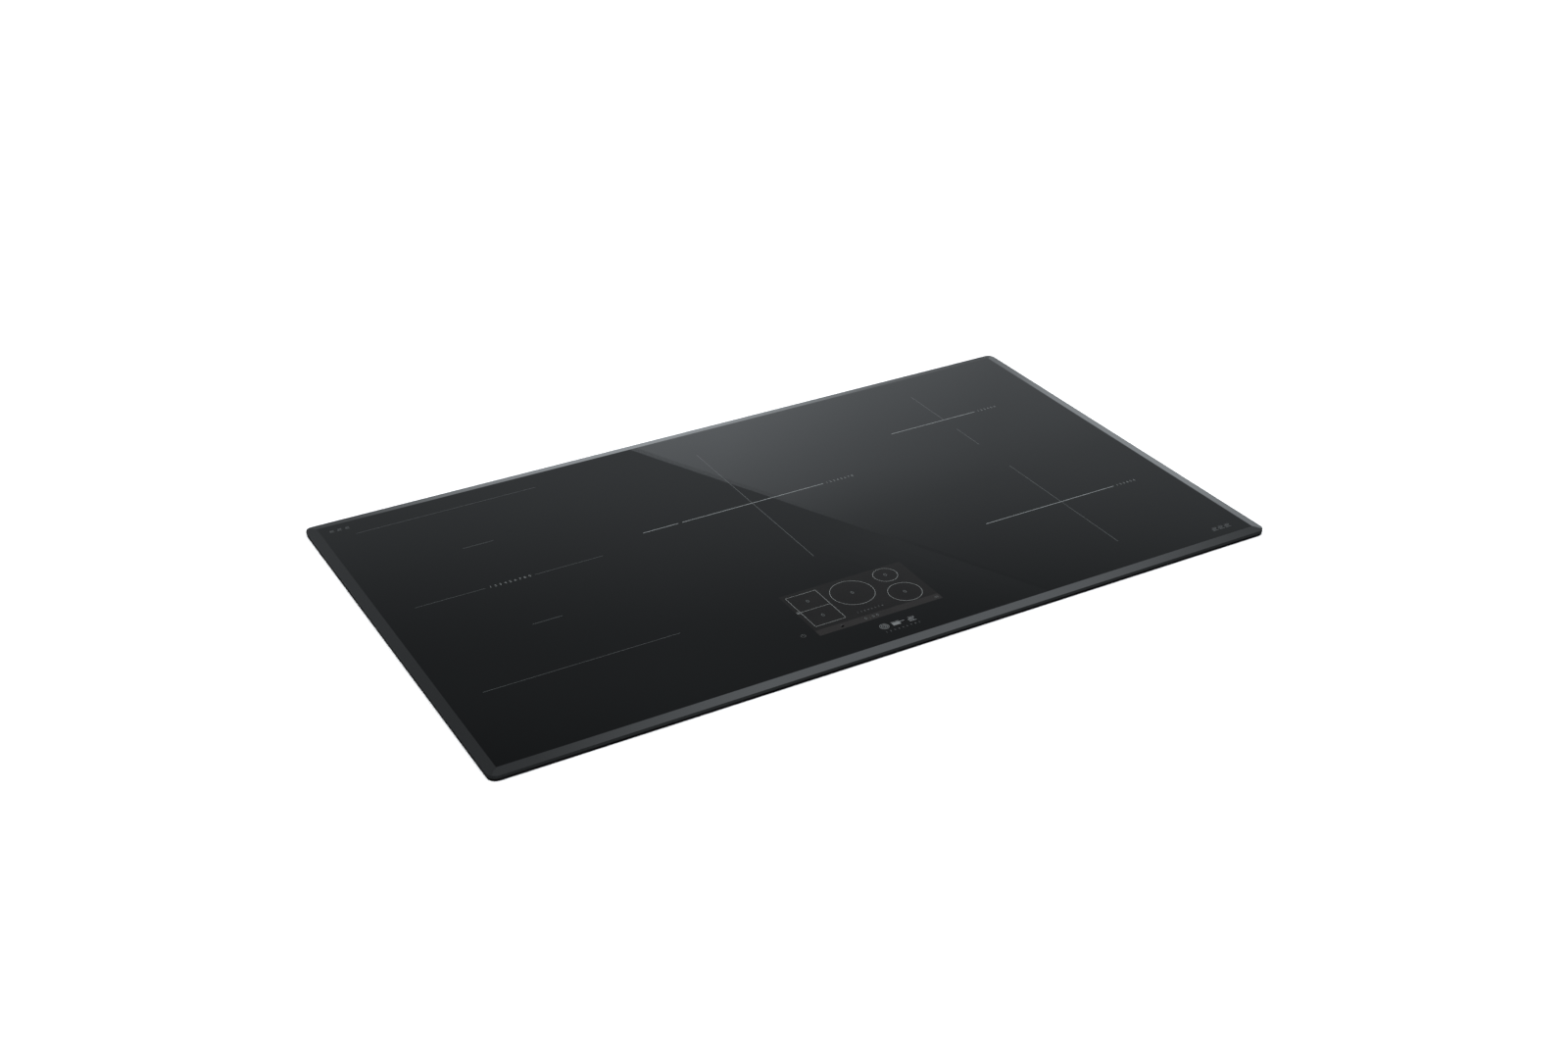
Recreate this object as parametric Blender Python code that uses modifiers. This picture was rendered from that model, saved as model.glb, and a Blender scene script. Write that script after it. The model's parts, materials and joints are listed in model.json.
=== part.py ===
"""Drop-in electric induction cooktop, 36-inch class, with five zones and a bridge.

The frame: the origin is the centre of the burner box's underside, +Z is up, the cook
stands at -Y and +X is to the right. Everything is in metres.
"""

import math

import bmesh
import bpy
from mathutils import Matrix, Vector

# --- Driving dimensions -----------------------------------------------------------------

WIDTH = 0.9335  # glass, left to right
DEPTH = 0.539  # glass, front to back
HEIGHT = 0.110  # burner box underside to glass top
GAP = 0.0003  # clearance between pieces that touch

CORNER_RADIUS = 0.010
GLASS_THICKNESS = 0.005
FACET_WIDTH = 0.0113  # ground facet round the glass, seen from above
FACET_DROP = 0.00174
REVEAL = 0.00604  # facet's lower edge to the worktop

CUTOUT_WIDTH = 0.860
CUTOUT_DEPTH = 0.486
SEAL_INSET = 0.0006
SEAL_BAND = 0.0114
FRAME_LOW = 0.0865  # foot of the frame's upright

FRAME_SHEET = 0.0012
BOX_SHEET = 0.0010
BOX_LIP = 0.0080
DECK_SHEET = 0.0020
DECK_TOP = 0.076

ZONE_SHIFT = -0.0035  # the zones' middle line, left of the glass's centre
SIDE_ZONE = 0.308
ZONES = {  # name: (x, y, coil radius)
    "left_rear": (ZONE_SHIFT - SIDE_ZONE, 0.136, 0.088),
    "left_front": (ZONE_SHIFT - SIDE_ZONE, -0.046, 0.088),
    "centre": (ZONE_SHIFT, 0.068, 0.139),
    "right_rear": (ZONE_SHIFT + SIDE_ZONE, 0.136, 0.076),
    "right_front": (ZONE_SHIFT + SIDE_ZONE, -0.1055, 0.104),
}
WINDING_HEIGHT = 0.0050
CARRIER_HEIGHT = 0.0080
HUB_HOLE = 0.0080
SPRING_RADIUS = 0.019
SPRING_WIRE = 0.0016
SPRING_TURNS = 3

DECKS = {  # name: (low x, high x, low y, high y)
    "left_deck": (-0.415, -0.205, -0.150, 0.232),
    "centre_deck": (-0.150, 0.143, -0.080, 0.215),
    "right_deck": (0.200, 0.412, -0.218, 0.222),
}
BOARDS = {  # name: (low x, high x, low y, high y)
    "left_inverter_board": (-0.405, -0.215, -0.135, 0.215),
    "centre_inverter_board": (-0.140, 0.133, -0.060, 0.205),
    "right_inverter_board": (0.210, 0.402, -0.205, 0.205),
}
BOARD_LOW = 0.0120
BOARD_THICKNESS = 0.0016
SINK_WIDTH = 0.060
SINK_TOP = 0.058
SINK_FINS = 8

DISPLAY_X = -0.0045
DISPLAY_Y = -0.170
DISPLAY_SIZE = (0.160, 0.092, 0.0060)

BLOWER_X = 0.1475
BLOWER_Y = -0.155
BLOWER_LOW = 0.0013
BLOWER_HEIGHT = 0.033
BLOWER_WALL = 0.0020
SCROLL_START = 0.041
SCROLL_END = 0.0475
IMPELLER_RADIUS = 0.036
IMPELLER_BLADES = 16

SUPPLY_X = -0.178
SUPPLY_Z = 0.045
CONNECTOR_RADIUS = 0.0108

CLAMP_Y = 0.120
CLAMP_AXIS = 0.4360  # screw axis, out from the centre
CLAMP_SHEET = 0.0020
CLAMP_WIDTH = 0.022
CLAMP_SCREW_RADIUS = 0.0025
ARM_LOW = 0.030
ARM_TIP = 0.050

# --- Levels that follow from them -----------------------------------------------------------

GLASS_LOW = HEIGHT - GLASS_THICKNESS
WORKTOP = HEIGHT - FACET_DROP - REVEAL
UNDER_GLASS = GLASS_LOW - GAP
WINDING_LOW = UNDER_GLASS - 0.0010 - WINDING_HEIGHT
CARRIER_LOW = WINDING_LOW - GAP - CARRIER_HEIGHT
FRAME_X = CUTOUT_WIDTH / 2 - 0.0020 - FRAME_SHEET / 2  # middle of the frame's upright
FRAME_Y = CUTOUT_DEPTH / 2 - 0.0020 - FRAME_SHEET / 2
BOX_X = FRAME_X - FRAME_SHEET / 2 - GAP  # burner box's outer faces
BOX_Y = FRAME_Y - FRAME_SHEET / 2 - GAP
BOX_TOP = 0.100
FLOOR = BOX_SHEET + GAP  # where pieces stand inside the box


# --- Scene and materials --------------------------------------------------------------------

for old in list(bpy.data.objects):
    bpy.data.objects.remove(old, do_unlink=True)

PARTS = bpy.data.collections.new("induction_cooktop")
TOOLS = bpy.data.collections.new("cutters")
bpy.context.scene.collection.children.link(PARTS)
bpy.context.scene.collection.children.link(TOOLS)


def finish(name, colour, roughness, metallic=0.0):
    """A plain Principled material."""
    made = bpy.data.materials.new(name)
    made.use_nodes = True
    shader = made.node_tree.nodes["Principled BSDF"]
    shader.inputs["Base Color"].default_value = (*colour, 1.0)
    shader.inputs["Roughness"].default_value = roughness
    shader.inputs["Metallic"].default_value = metallic
    made.diffuse_color = (*colour, 1.0)
    return made


BLACK_GLASS = finish("black_glass", (0.012, 0.014, 0.014), 0.06)
FOAM = finish("seal_foam", (0.02, 0.02, 0.02), 0.9)
BLACK_STEEL = finish("black_steel", (0.03, 0.03, 0.03), 0.5, 0.4)
GALVANISED = finish("galvanised_steel", (0.55, 0.56, 0.57), 0.42, 1.0)
ALUMINIUM = finish("aluminium", (0.78, 0.79, 0.80), 0.35, 1.0)
COPPER = finish("litz_copper", (0.60, 0.28, 0.12), 0.45, 0.8)
DARK_PLASTIC = finish("dark_plastic", (0.04, 0.04, 0.045), 0.55)
LIGHT_PLASTIC = finish("light_plastic", (0.75, 0.74, 0.70), 0.5)
SILICONE = finish("silicone", (0.62, 0.14, 0.08), 0.6)
SPRING_STEEL = finish("spring_steel", (0.50, 0.50, 0.52), 0.3, 1.0)
CIRCUIT_BOARD = finish("circuit_board", (0.03, 0.16, 0.07), 0.5)
SCREEN = finish("screen", (0.03, 0.028, 0.026), 0.2)
GREY_CABLE = finish("cable_sleeve", (0.20, 0.20, 0.21), 0.6)


# --- Shape helpers --------------------------------------------------------------------------

ORDER = {  # a flat outline's (u, v) and the level w, as (x, y, z), by the axis w runs along
    "X": lambda u, v, w: (w, u, v),
    "Y": lambda u, v, w: (u, w, v),
    "Z": lambda u, v, w: (u, v, w),
}


def add_object(name, data, coat, group=PARTS):
    """Link a mesh or curve as an object with one material."""
    obj = bpy.data.objects.new(name, data)
    group.objects.link(obj)
    if coat:
        data.materials.append(coat)
    if group is TOOLS:
        obj.hide_render = True
        obj.display_type = "WIRE"
    return obj


def mesh_object(name, shape, coat=None, group=PARTS):
    """Turn a bmesh into an object, with its faces pointing out."""
    bmesh.ops.recalc_face_normals(shape, faces=shape.faces)
    mesh = bpy.data.meshes.new(name)
    shape.to_mesh(mesh)
    shape.free()
    return add_object(name, mesh, coat, group)


def add_block(shape, low, high):
    """A box between two corners."""
    low, high = Vector(low), Vector(high)
    place = Matrix.Translation((low + high) / 2)
    bmesh.ops.create_cube(shape, size=1.0, matrix=place @ Matrix.Diagonal((*(high - low), 1.0)))


def add_rod(shape, centre, radius, length, segments=16, turn=None):
    """A cylinder about centre, along Z or along Z turned by a matrix."""
    place = Matrix.Translation(centre) @ (turn or Matrix())
    bmesh.ops.create_cone(
        shape, cap_ends=True, segments=segments, radius1=radius, radius2=radius,
        depth=length, matrix=place,
    )


def add_prism(shape, outline, low, high, along="Z"):
    """Extrude a flat outline between two levels along one axis."""
    put = ORDER[along]
    face = shape.faces.new([shape.verts.new(put(u, v, low)) for u, v in outline])
    grown = bmesh.ops.extrude_face_region(shape, geom=[face])
    moved = [item for item in grown["geom"] if isinstance(item, bmesh.types.BMVert)]
    bmesh.ops.translate(shape, verts=moved, vec=put(0.0, 0.0, high - low))


def block(name, low, high, coat):
    """An object that is one box."""
    shape = bmesh.new()
    add_block(shape, low, high)
    return mesh_object(name, shape, coat)


def prism(name, outline, low, high, coat, along="Z"):
    """An object that is one extruded outline."""
    shape = bmesh.new()
    add_prism(shape, outline, low, high, along)
    return mesh_object(name, shape, coat)


def boolean(obj, operation, shape, label):
    """Cut a tool from obj or join it on; the tool goes in the cutters' collection."""
    tool = mesh_object(obj.name + "_" + label, shape, None, TOOLS)
    step = obj.modifiers.new(label, "BOOLEAN")
    step.operation = operation
    step.solver = "EXACT"
    step.object = tool


def flat_plate(name, loops, low, thickness, coat):
    """A plate whose first loop is its outline and whose other loops are holes."""
    curve = bpy.data.curves.new(name, "CURVE")
    curve.dimensions = "2D"
    curve.fill_mode = "BOTH"
    curve.extrude = thickness / 2
    for loop in loops:
        spline = curve.splines.new("POLY")
        spline.points.add(len(loop) - 1)
        for point, (x, y) in zip(spline.points, loop):
            point.co = (x, y, 0.0, 1.0)
        spline.use_cyclic_u = True
    plate = add_object(name, curve, coat)
    plate.location.z = low + thickness / 2
    return plate


def turned(name, profile, segments, coat, closed=False, group=PARTS):
    """Turn a profile of (radius, height) points, run down its outer side, about Z."""
    mesh = bpy.data.meshes.new(name)
    edges = [(i, i + 1) for i in range(len(profile) - 1)]
    if closed:
        edges.append((len(profile) - 1, 0))
    mesh.from_pydata([(radius, 0.0, height) for radius, height in profile], edges, [])
    obj = add_object(name, mesh, coat, group)
    screw = obj.modifiers.new("turn", "SCREW")
    screw.steps = screw.render_steps = segments
    screw.use_merge_vertices = True
    screw.merge_threshold = 0.00001
    return obj


def ring(name, inner, outer, low, high, segments, coat):
    """A flat ring about Z."""
    profile = [(outer, high), (outer, low), (inner, low), (inner, high)]
    return turned(name, profile, segments, coat, closed=True)


def wire(name, points, radius, coat, sides=1):
    """A round wire along a polyline."""
    curve = bpy.data.curves.new(name, "CURVE")
    curve.dimensions = "3D"
    curve.bevel_depth = radius
    curve.bevel_resolution = sides
    curve.use_fill_caps = True
    spline = curve.splines.new("POLY")
    spline.points.add(len(points) - 1)
    for point, place in zip(spline.points, points):
        point.co = (*place, 1.0)
    return add_object(name, curve, coat)


def rectangle(half_x, half_y):
    """Corners of a rectangle about the origin, anticlockwise."""
    return [(-half_x, -half_y), (half_x, -half_y), (half_x, half_y), (-half_x, half_y)]


def arc(centre, radius, start, end, steps):
    """Points along an arc, both ends included, angles in degrees."""
    angles = [math.radians(start + (end - start) * i / steps) for i in range(steps + 1)]
    return [(centre[0] + radius * math.cos(a), centre[1] + radius * math.sin(a)) for a in angles]


def circle(radius, steps):
    """Points round a circle about the origin."""
    return arc((0.0, 0.0), radius, 0.0, 360.0, steps)[:-1]


def rounded_rectangle(half_x, half_y, radius, steps=6):
    """A rectangle about the origin with round corners, anticlockwise."""
    points = []
    for turn, (x, y) in enumerate([(1, 1), (-1, 1), (-1, -1), (1, -1)]):
        centre = (x * (half_x - radius), y * (half_y - radius))
        points += arc(centre, radius, 90.0 * turn, 90.0 * turn + 90.0, steps)
    return points


def comb(left, right, base_low, base_high, top, fins, fin_width):
    """Outline of a base with upright fins, anticlockwise."""
    outline = [(left, base_low), (right, base_low)]
    pitch = (right - left - fin_width) / (fins - 1)
    for i in range(fins):
        edge = right - i * pitch
        outline += [(edge, top), (edge - fin_width, top)]
        if i < fins - 1:
            outline += [(edge - fin_width, base_high), (edge - pitch, base_high)]
    return outline


def thicken(sheet, thickness):
    """Give an open surface an even thickness, half to each side, with true corners."""
    skin = sheet.modifiers.new("sheet", "SOLIDIFY")
    skin.solidify_mode = "NON_MANIFOLD"
    skin.nonmanifold_thickness_mode = "CONSTRAINTS"
    skin.nonmanifold_merge_threshold = 0.00001
    skin.thickness = thickness
    skin.offset = 0.0


def folded_ring(name, loops, thickness, coat, bottom=False):
    """Sheet metal through rectangular loops of (half x, half y, z), open inside."""
    shape = bmesh.new()
    rows = []
    for half_x, half_y, z in loops:
        rows.append([shape.verts.new((x, y, z)) for x, y in rectangle(half_x, half_y)])
    for upper, lower in zip(rows, rows[1:]):
        for i in range(4):
            shape.faces.new([upper[i], upper[(i + 1) % 4], lower[(i + 1) % 4], lower[i]])
    if bottom:
        shape.faces.new(rows[-1])
    sheet = mesh_object(name, shape, coat)
    thicken(sheet, thickness)
    return sheet


def folded_strip(name, profile, low, high, thickness, coat, along):
    """Sheet metal that follows a profile and runs between two levels along one axis."""
    put = ORDER[along]
    shape = bmesh.new()
    rows = [[shape.verts.new(put(u, v, w)) for w in (low, high)] for u, v in profile]
    for one, two in zip(rows, rows[1:]):
        shape.faces.new([one[0], two[0], two[1], one[1]])
    strip = mesh_object(name, shape, coat)
    thicken(strip, thickness)
    return strip


def smooth_route(corners, steps):
    """Points along a Catmull-Rom curve through the corners."""
    padded = [corners[0], *corners, corners[-1]]
    points = []
    for a, b, c, d in zip(padded, padded[1:], padded[2:], padded[3:]):
        a, b, c, d = Vector(a), Vector(b), Vector(c), Vector(d)
        for i in range(steps):
            t = i / steps
            points.append(0.5 * (2 * b + (c - a) * t + (2 * a - 5 * b + 4 * c - d) * t**2
                                 + (3 * b - a - 3 * c + d) * t**3))
    return [*points, Vector(corners[-1])]


# --- Glass, seal, frame and burner box ------------------------------------------------------------


def glass_top():
    """Glass plate with round corners and a flat ground facet along each edge."""
    shape = bmesh.new()
    add_prism(shape, rounded_rectangle(WIDTH / 2, DEPTH / 2, CORNER_RADIUS), GLASS_LOW, HEIGHT)
    for x, y, reach in ((1, 0, WIDTH), (-1, 0, WIDTH), (0, 1, DEPTH), (0, -1, DEPTH)):
        inset = reach / 2 - FACET_WIDTH
        cut = bmesh.ops.bisect_plane(
            shape, geom=[*shape.verts, *shape.edges, *shape.faces],
            plane_co=(x * inset, y * inset, HEIGHT),
            plane_no=(x * FACET_DROP, y * FACET_DROP, FACET_WIDTH), clear_outer=True,
        )
        rim = [edge for edge in cut["geom_cut"] if isinstance(edge, bmesh.types.BMEdge)]
        bmesh.ops.contextual_create(shape, geom=rim)
    mesh_object("glass_top", shape, BLACK_GLASS)


def worktop_seal():
    """Foam tape round the glass's underside, which seats on the worktop."""
    corner = CORNER_RADIUS - SEAL_INSET
    outer = rounded_rectangle(WIDTH / 2 - SEAL_INSET, DEPTH / 2 - SEAL_INSET, corner)
    edge = SEAL_INSET + SEAL_BAND
    inner = rounded_rectangle(WIDTH / 2 - edge, DEPTH / 2 - edge, 0.003, 2)
    flat_plate("worktop_seal", [outer, inner], WORKTOP, UNDER_GLASS - WORKTOP, FOAM)


def glass_frame():
    """Steel angle bonded under the glass; its upright drops into the cut-out."""
    flange = UNDER_GLASS - FRAME_SHEET / 2
    reach = SEAL_INSET + SEAL_BAND + 0.002
    loops = [
        (WIDTH / 2 - reach, DEPTH / 2 - reach, flange),
        (FRAME_X, FRAME_Y, flange),
        (FRAME_X, FRAME_Y, FRAME_LOW),
    ]
    folded_ring("glass_frame", loops, FRAME_SHEET, BLACK_STEEL)


def vent_slots():
    """The burner box's openings: air in below, air out at front and back, and the supply."""
    shape = bmesh.new()
    slot, through = 0.0040, 0.01
    intake_pitch, intake_half = 0.0095, 0.024
    for side in (-1, 1):
        for i in range(6):
            x = side * BLOWER_X + (i - 2.5) * intake_pitch
            low = (x - slot / 2, BLOWER_Y - intake_half, -through)
            add_block(shape, low, (x + slot / 2, BLOWER_Y + intake_half, through))
    outlet_pitch, outlet_half = 0.115, 0.035
    for i in range(7):
        x = (i - 3) * outlet_pitch
        for y in (-BOX_Y, BOX_Y):
            if y > 0 and abs(x - SUPPLY_X) < 0.08:
                continue
            for z in (0.030, 0.042, 0.054):
                low = (x - outlet_half, y - through, z)
                add_block(shape, low, (x + outlet_half, y + through, z + slot))
    half_x, half_z = 0.022, 0.019
    low = (SUPPLY_X - half_x, BOX_Y - through, SUPPLY_Z - half_z)
    add_block(shape, low, (SUPPLY_X + half_x, BOX_Y + through, SUPPLY_Z + half_z))
    return shape


def burner_box():
    """The sheet-metal pan under the glass, with a lip turned in round its top."""
    wall_x, wall_y = BOX_X - BOX_SHEET / 2, BOX_Y - BOX_SHEET / 2
    loops = [
        (wall_x - BOX_LIP, wall_y - BOX_LIP, BOX_TOP - BOX_SHEET / 2),
        (wall_x, wall_y, BOX_TOP - BOX_SHEET / 2),
        (wall_x, wall_y, BOX_SHEET / 2),
    ]
    pan = folded_ring("burner_box", loops, BOX_SHEET, GALVANISED, bottom=True)
    boolean(pan, "DIFFERENCE", vent_slots(), "openings")


def supply_entry():
    """Cover plate over the wiring opening, the conduit connector in it and the terminals."""
    cover_low = BOX_Y + GAP
    half_x, half_z, sheet = 0.032, 0.027, 0.0012
    plate = block(
        "junction_cover", (SUPPLY_X - half_x, cover_low, SUPPLY_Z - half_z),
        (SUPPLY_X + half_x, cover_low + sheet, SUPPLY_Z + half_z), GALVANISED,
    )
    hole = bmesh.new()
    sideways = Matrix.Rotation(math.radians(90), 4, "X")
    add_rod(hole, (SUPPLY_X, cover_low, SUPPLY_Z), CONNECTOR_RADIUS + GAP, 0.01, 20, sideways)
    boolean(plate, "DIFFERENCE", hole, "knockout")

    bore, flange = CONNECTOR_RADIUS - 0.0023, CONNECTOR_RADIUS + 0.0045
    inner, face, nut, end = -0.0080, 0.0018, 0.0065, 0.0225  # out from the box's back wall
    profile = [
        (bore, end), (CONNECTOR_RADIUS, end), (CONNECTOR_RADIUS, nut), (flange, nut),
        (flange, face), (CONNECTOR_RADIUS, face), (CONNECTOR_RADIUS, inner), (bore, inner),
    ]
    connector = turned("conduit_connector", profile, 20, GALVANISED, closed=True)
    connector.rotation_euler.x = math.radians(-90)
    connector.location = (SUPPLY_X, BOX_Y, SUPPLY_Z)

    walls, wall, half = 5, 0.002, 0.020
    outline = comb(SUPPLY_X - half, SUPPLY_X + half, FLOOR, 0.018, 0.028, walls, wall)
    prism("terminal_block", outline, 0.185, 0.222, LIGHT_PLASTIC, along="Y")


# --- Coils ------------------------------------------------------------------------------------


def window(radius_in, radius_out, middle, half_width, steps):
    """One opening of a carrier, between two arms, about an angle in radians."""
    def point(radius, across):
        angle = middle + across * (math.pi / 8 - math.asin(half_width / radius))
        return (radius * math.cos(angle), radius * math.sin(angle))

    outer = [point(radius_out, -1 + 2 * i / steps) for i in range(steps + 1)]
    return [*outer, point(radius_in, 1), point(radius_in, -1)]


def coil(zone, x, y, radius):
    """One coil unit: a spoked carrier on a spring, its winding and its heat sensor."""
    hub, rim, half_arm = 0.030, 0.008, 0.007
    loops = [circle(radius - 0.001, 40), circle(HUB_HOLE, 16)]
    for i in range(8):
        loops.append(window(hub, radius - rim, math.pi / 4 * (i + 0.5), half_arm, 4))
    carrier = flat_plate(zone + "_coil_carrier", loops, CARRIER_LOW, CARRIER_HEIGHT, DARK_PLASTIC)
    carrier.location.xy = (x, y)

    top = WINDING_LOW + WINDING_HEIGHT
    winding = ring(zone + "_winding", 0.022, radius - 0.003, WINDING_LOW, top, 40, COPPER)
    winding.location.xy = (x, y)

    shelf, flange = WINDING_LOW, WINDING_LOW + 0.0015
    tip, brim, plug, foot = 0.0065, 0.0115, 0.0070, CARRIER_LOW + 0.001
    profile = [
        (0.0, UNDER_GLASS), (tip, UNDER_GLASS), (tip, flange), (brim, flange),
        (brim, shelf), (plug, shelf), (plug, foot), (0.0, foot),
    ]
    sensor = turned(zone + "_heat_sensor", profile, 14, SILICONE)
    sensor.location.xy = (x, y)

    low = DECK_TOP + GAP + SPRING_WIRE / 2
    high = CARRIER_LOW - GAP - SPRING_WIRE / 2
    per_turn = 12
    points = []
    for i in range(SPRING_TURNS * per_turn + 1):
        angle = 2 * math.pi * i / per_turn
        level = low + (high - low) * i / (SPRING_TURNS * per_turn)
        across = (x + SPRING_RADIUS * math.cos(angle), y + SPRING_RADIUS * math.sin(angle))
        points.append((*across, level))
    wire(zone + "_coil_spring", points, SPRING_WIRE / 2, SPRING_STEEL)


def deck(name, low_x, high_x, low_y, high_y):
    """Aluminium bridge that carries coils over a board, its legs along front to back."""
    half = DECK_SHEET / 2
    profile = [(low_x + half, FLOOR), (low_x + half, DECK_TOP - half),
               (high_x - half, DECK_TOP - half), (high_x - half, FLOOR)]
    bridge = folded_strip(name, profile, low_y, high_y, DECK_SHEET, ALUMINIUM, along="Y")
    holes = bmesh.new()
    through = 0.01
    half_slot = (0.008, 0.004)
    for x, y, _ in ZONES.values():
        if low_x < x < high_x:
            add_rod(holes, (x, y, DECK_TOP), 0.014, 2 * through, 16)
            for middle in (x - 0.045, x + 0.045):
                low = (middle - half_slot[0], y - half_slot[1], DECK_TOP - through)
                add_block(holes, low, (middle + half_slot[0], y + half_slot[1], DECK_TOP + through))
    if name == "right_deck":  # lets the right blower's air in through the leg
        add_block(holes, (low_x - through, -0.205, 0.004), (low_x + through, -0.165, 0.034))
    boolean(bridge, "DIFFERENCE", holes, "holes")


# --- Electronics ---------------------------------------------------------------------------------


def add_standoffs(shape, low_x, high_x, low_y, high_y, floor, board):
    """Four short posts under a board's corners."""
    inset, sunk = 0.007, 0.0005
    for x in (low_x + inset, high_x - inset):
        for y in (low_y + inset, high_y - inset):
            add_rod(shape, (x, y, (floor + board + sunk) / 2), 0.003, board + sunk - floor, 10)


def inverter(name, low_x, high_x, low_y, high_y):
    """Power board with its capacitors and chokes, and the finned heat sink down its middle."""
    top = BOARD_LOW + BOARD_THICKNESS
    board = block(name, (low_x, low_y, BOARD_LOW), (high_x, high_y, top), CIRCUIT_BOARD)
    middle = (low_x + high_x) / 2
    root = top - 0.0005
    fitted = bmesh.new()
    add_standoffs(fitted, low_x, high_x, low_y, high_y, FLOOR, BOARD_LOW)
    rows = 4
    pitch = (high_y - low_y - 0.030) / rows
    near, far = 0.012, 0.040  # the components' sides, in from the board's edges
    for i in range(rows):
        y = low_y + 0.015 + (i + 0.5) * pitch
        add_block(fitted, (low_x + near, y - 0.021, root), (low_x + far, y + 0.021, top + 0.032))
        if i % 2:
            low = (high_x - far, y - 0.013, root)
            add_block(fitted, low, (high_x - near, y + 0.013, top + 0.020))
        else:
            add_rod(fitted, (high_x - 0.028, y, root + 0.013), 0.015, 0.026, 16)
    boolean(board, "UNION", fitted, "components")

    half, base, fin, inset = SINK_WIDTH / 2, 0.005, 0.002, 0.030
    outline = comb(middle - half, middle + half, top + GAP, top + base, SINK_TOP, SINK_FINS, fin)
    sink = name.replace("inverter_board", "heat_sink")
    prism(sink, outline, low_y + inset, high_y - inset, ALUMINIUM, along="Y")


def filter_board():
    """Mains filter under the display, with its choke, capacitors and fuse."""
    low_x, high_x, low_y, high_y = -0.085, 0.077, -0.210, -0.130
    top = BOARD_LOW + BOARD_THICKNESS
    board = block("filter_board", (low_x, low_y, BOARD_LOW), (high_x, high_y, top), CIRCUIT_BOARD)
    root = top - 0.0005
    fitted = bmesh.new()
    add_standoffs(fitted, low_x, high_x, low_y, high_y, FLOOR, BOARD_LOW)
    add_rod(fitted, (-0.030, -0.170, root + 0.015), 0.020, 0.030, 20)
    for x in (0.010, 0.034, 0.058):
        add_block(fitted, (x - 0.009, -0.190, root), (x + 0.009, -0.158, root + 0.028))
    add_block(fitted, (-0.078, -0.148, root), (-0.060, -0.132, root + 0.012))
    boolean(board, "UNION", fitted, "components")


def display():
    """Touch screen under the glass, its control board and the bracket that holds both up."""
    size_x, size_y, size_z = DISPLAY_SIZE
    screen = block(
        "display_module", (DISPLAY_X - size_x / 2, DISPLAY_Y - size_y / 2, UNDER_GLASS - size_z),
        (DISPLAY_X + size_x / 2, DISPLAY_Y + size_y / 2, UNDER_GLASS), SCREEN,
    )
    edge = screen.modifiers.new("edge", "BEVEL")
    edge.width = 0.0008
    edge.segments = 1

    half, reach, sheet, shelf = 0.096, 0.048, 0.0014, 0.0848
    left, right = DISPLAY_X - half, DISPLAY_X + half
    profile = [(left, FLOOR), (left, shelf), (right, shelf), (right, FLOOR)]
    front, rear = DISPLAY_Y - reach, DISPLAY_Y + reach
    bracket = folded_strip("display_bracket", profile, front, rear, sheet, GALVANISED, along="Y")
    holes = bmesh.new()
    for x in (left, right):
        add_block(holes, (x - 0.01, DISPLAY_Y - 0.025, 0.045), (x + 0.01, DISPLAY_Y + 0.025, 0.065))
    boolean(bracket, "DIFFERENCE", holes, "holes")

    low_x, high_x = DISPLAY_X - 0.070, DISPLAY_X + 0.070
    low_y, high_y = DISPLAY_Y - 0.040, DISPLAY_Y + 0.045
    board_low = 0.0880
    board_top = board_low + BOARD_THICKNESS
    board = block("control_board", (low_x, low_y, board_low), (high_x, high_y, board_top), CIRCUIT_BOARD)
    root = board_top - 0.0005
    fitted = bmesh.new()
    add_standoffs(fitted, low_x, high_x, low_y, high_y, shelf + sheet / 2 + GAP, board_low)
    for x, y, half_x, half_y, high in (
        (-0.040, 0.0, 0.010, 0.010, 0.0030), (0.005, 0.010, 0.012, 0.008, 0.0025),
        (0.045, -0.012, 0.006, 0.014, 0.0060), (0.0, -0.026, 0.020, 0.004, 0.0060),
    ):
        x, y = DISPLAY_X + x, DISPLAY_Y + y
        add_block(fitted, (x - half_x, y - half_y, root), (x + half_x, y + half_y, root + high))
    boolean(board, "UNION", fitted, "components")


def cables():
    """Flat ribbon from the control board, and the mains wires from terminals to filter."""
    ribbon = [(-0.1247, 0.0888), (-0.1140, 0.0886), (-0.1085, 0.0840), (-0.1085, 0.0300),
              (-0.1030, 0.0180), (-0.0900, 0.0130), (-0.0603, 0.0128)]
    folded_strip("ribbon_cable", ribbon, -0.015, 0.007, 0.0009, GREY_CABLE, along="X")
    route = [
        (SUPPLY_X, 0.1845, 0.018), (SUPPLY_X, 0.150, 0.018),
        (SUPPLY_X, 0.020, 0.012), (SUPPLY_X, -0.060, 0.012),
        (-0.145, -0.0930, 0.012), (-0.098, -0.0950, 0.012),
        (-0.069, -0.108, 0.018), (-0.069, -0.1295, 0.018),
    ]
    wire("mains_harness", smooth_route(route, 4), 0.0035, GREY_CABLE, sides=2)


# --- Blowers -------------------------------------------------------------------------------------


def scroll_outline(offset, mouth):
    """Blower casing seen from above, its outlet towards +X along the front."""
    first, last, steps = -25.0, 270.0, 18
    points = []
    for i in range(steps + 1):
        radius = SCROLL_START + (SCROLL_END - SCROLL_START) * i / steps - offset
        angle = math.radians(first + (last - first) * i / steps)
        points.append((radius * math.cos(angle), radius * math.sin(angle)))
    duct_wall = SCROLL_START * math.sin(math.radians(first)) - offset
    return [*points, (mouth, -SCROLL_END + offset), (mouth, duct_wall)]


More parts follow.
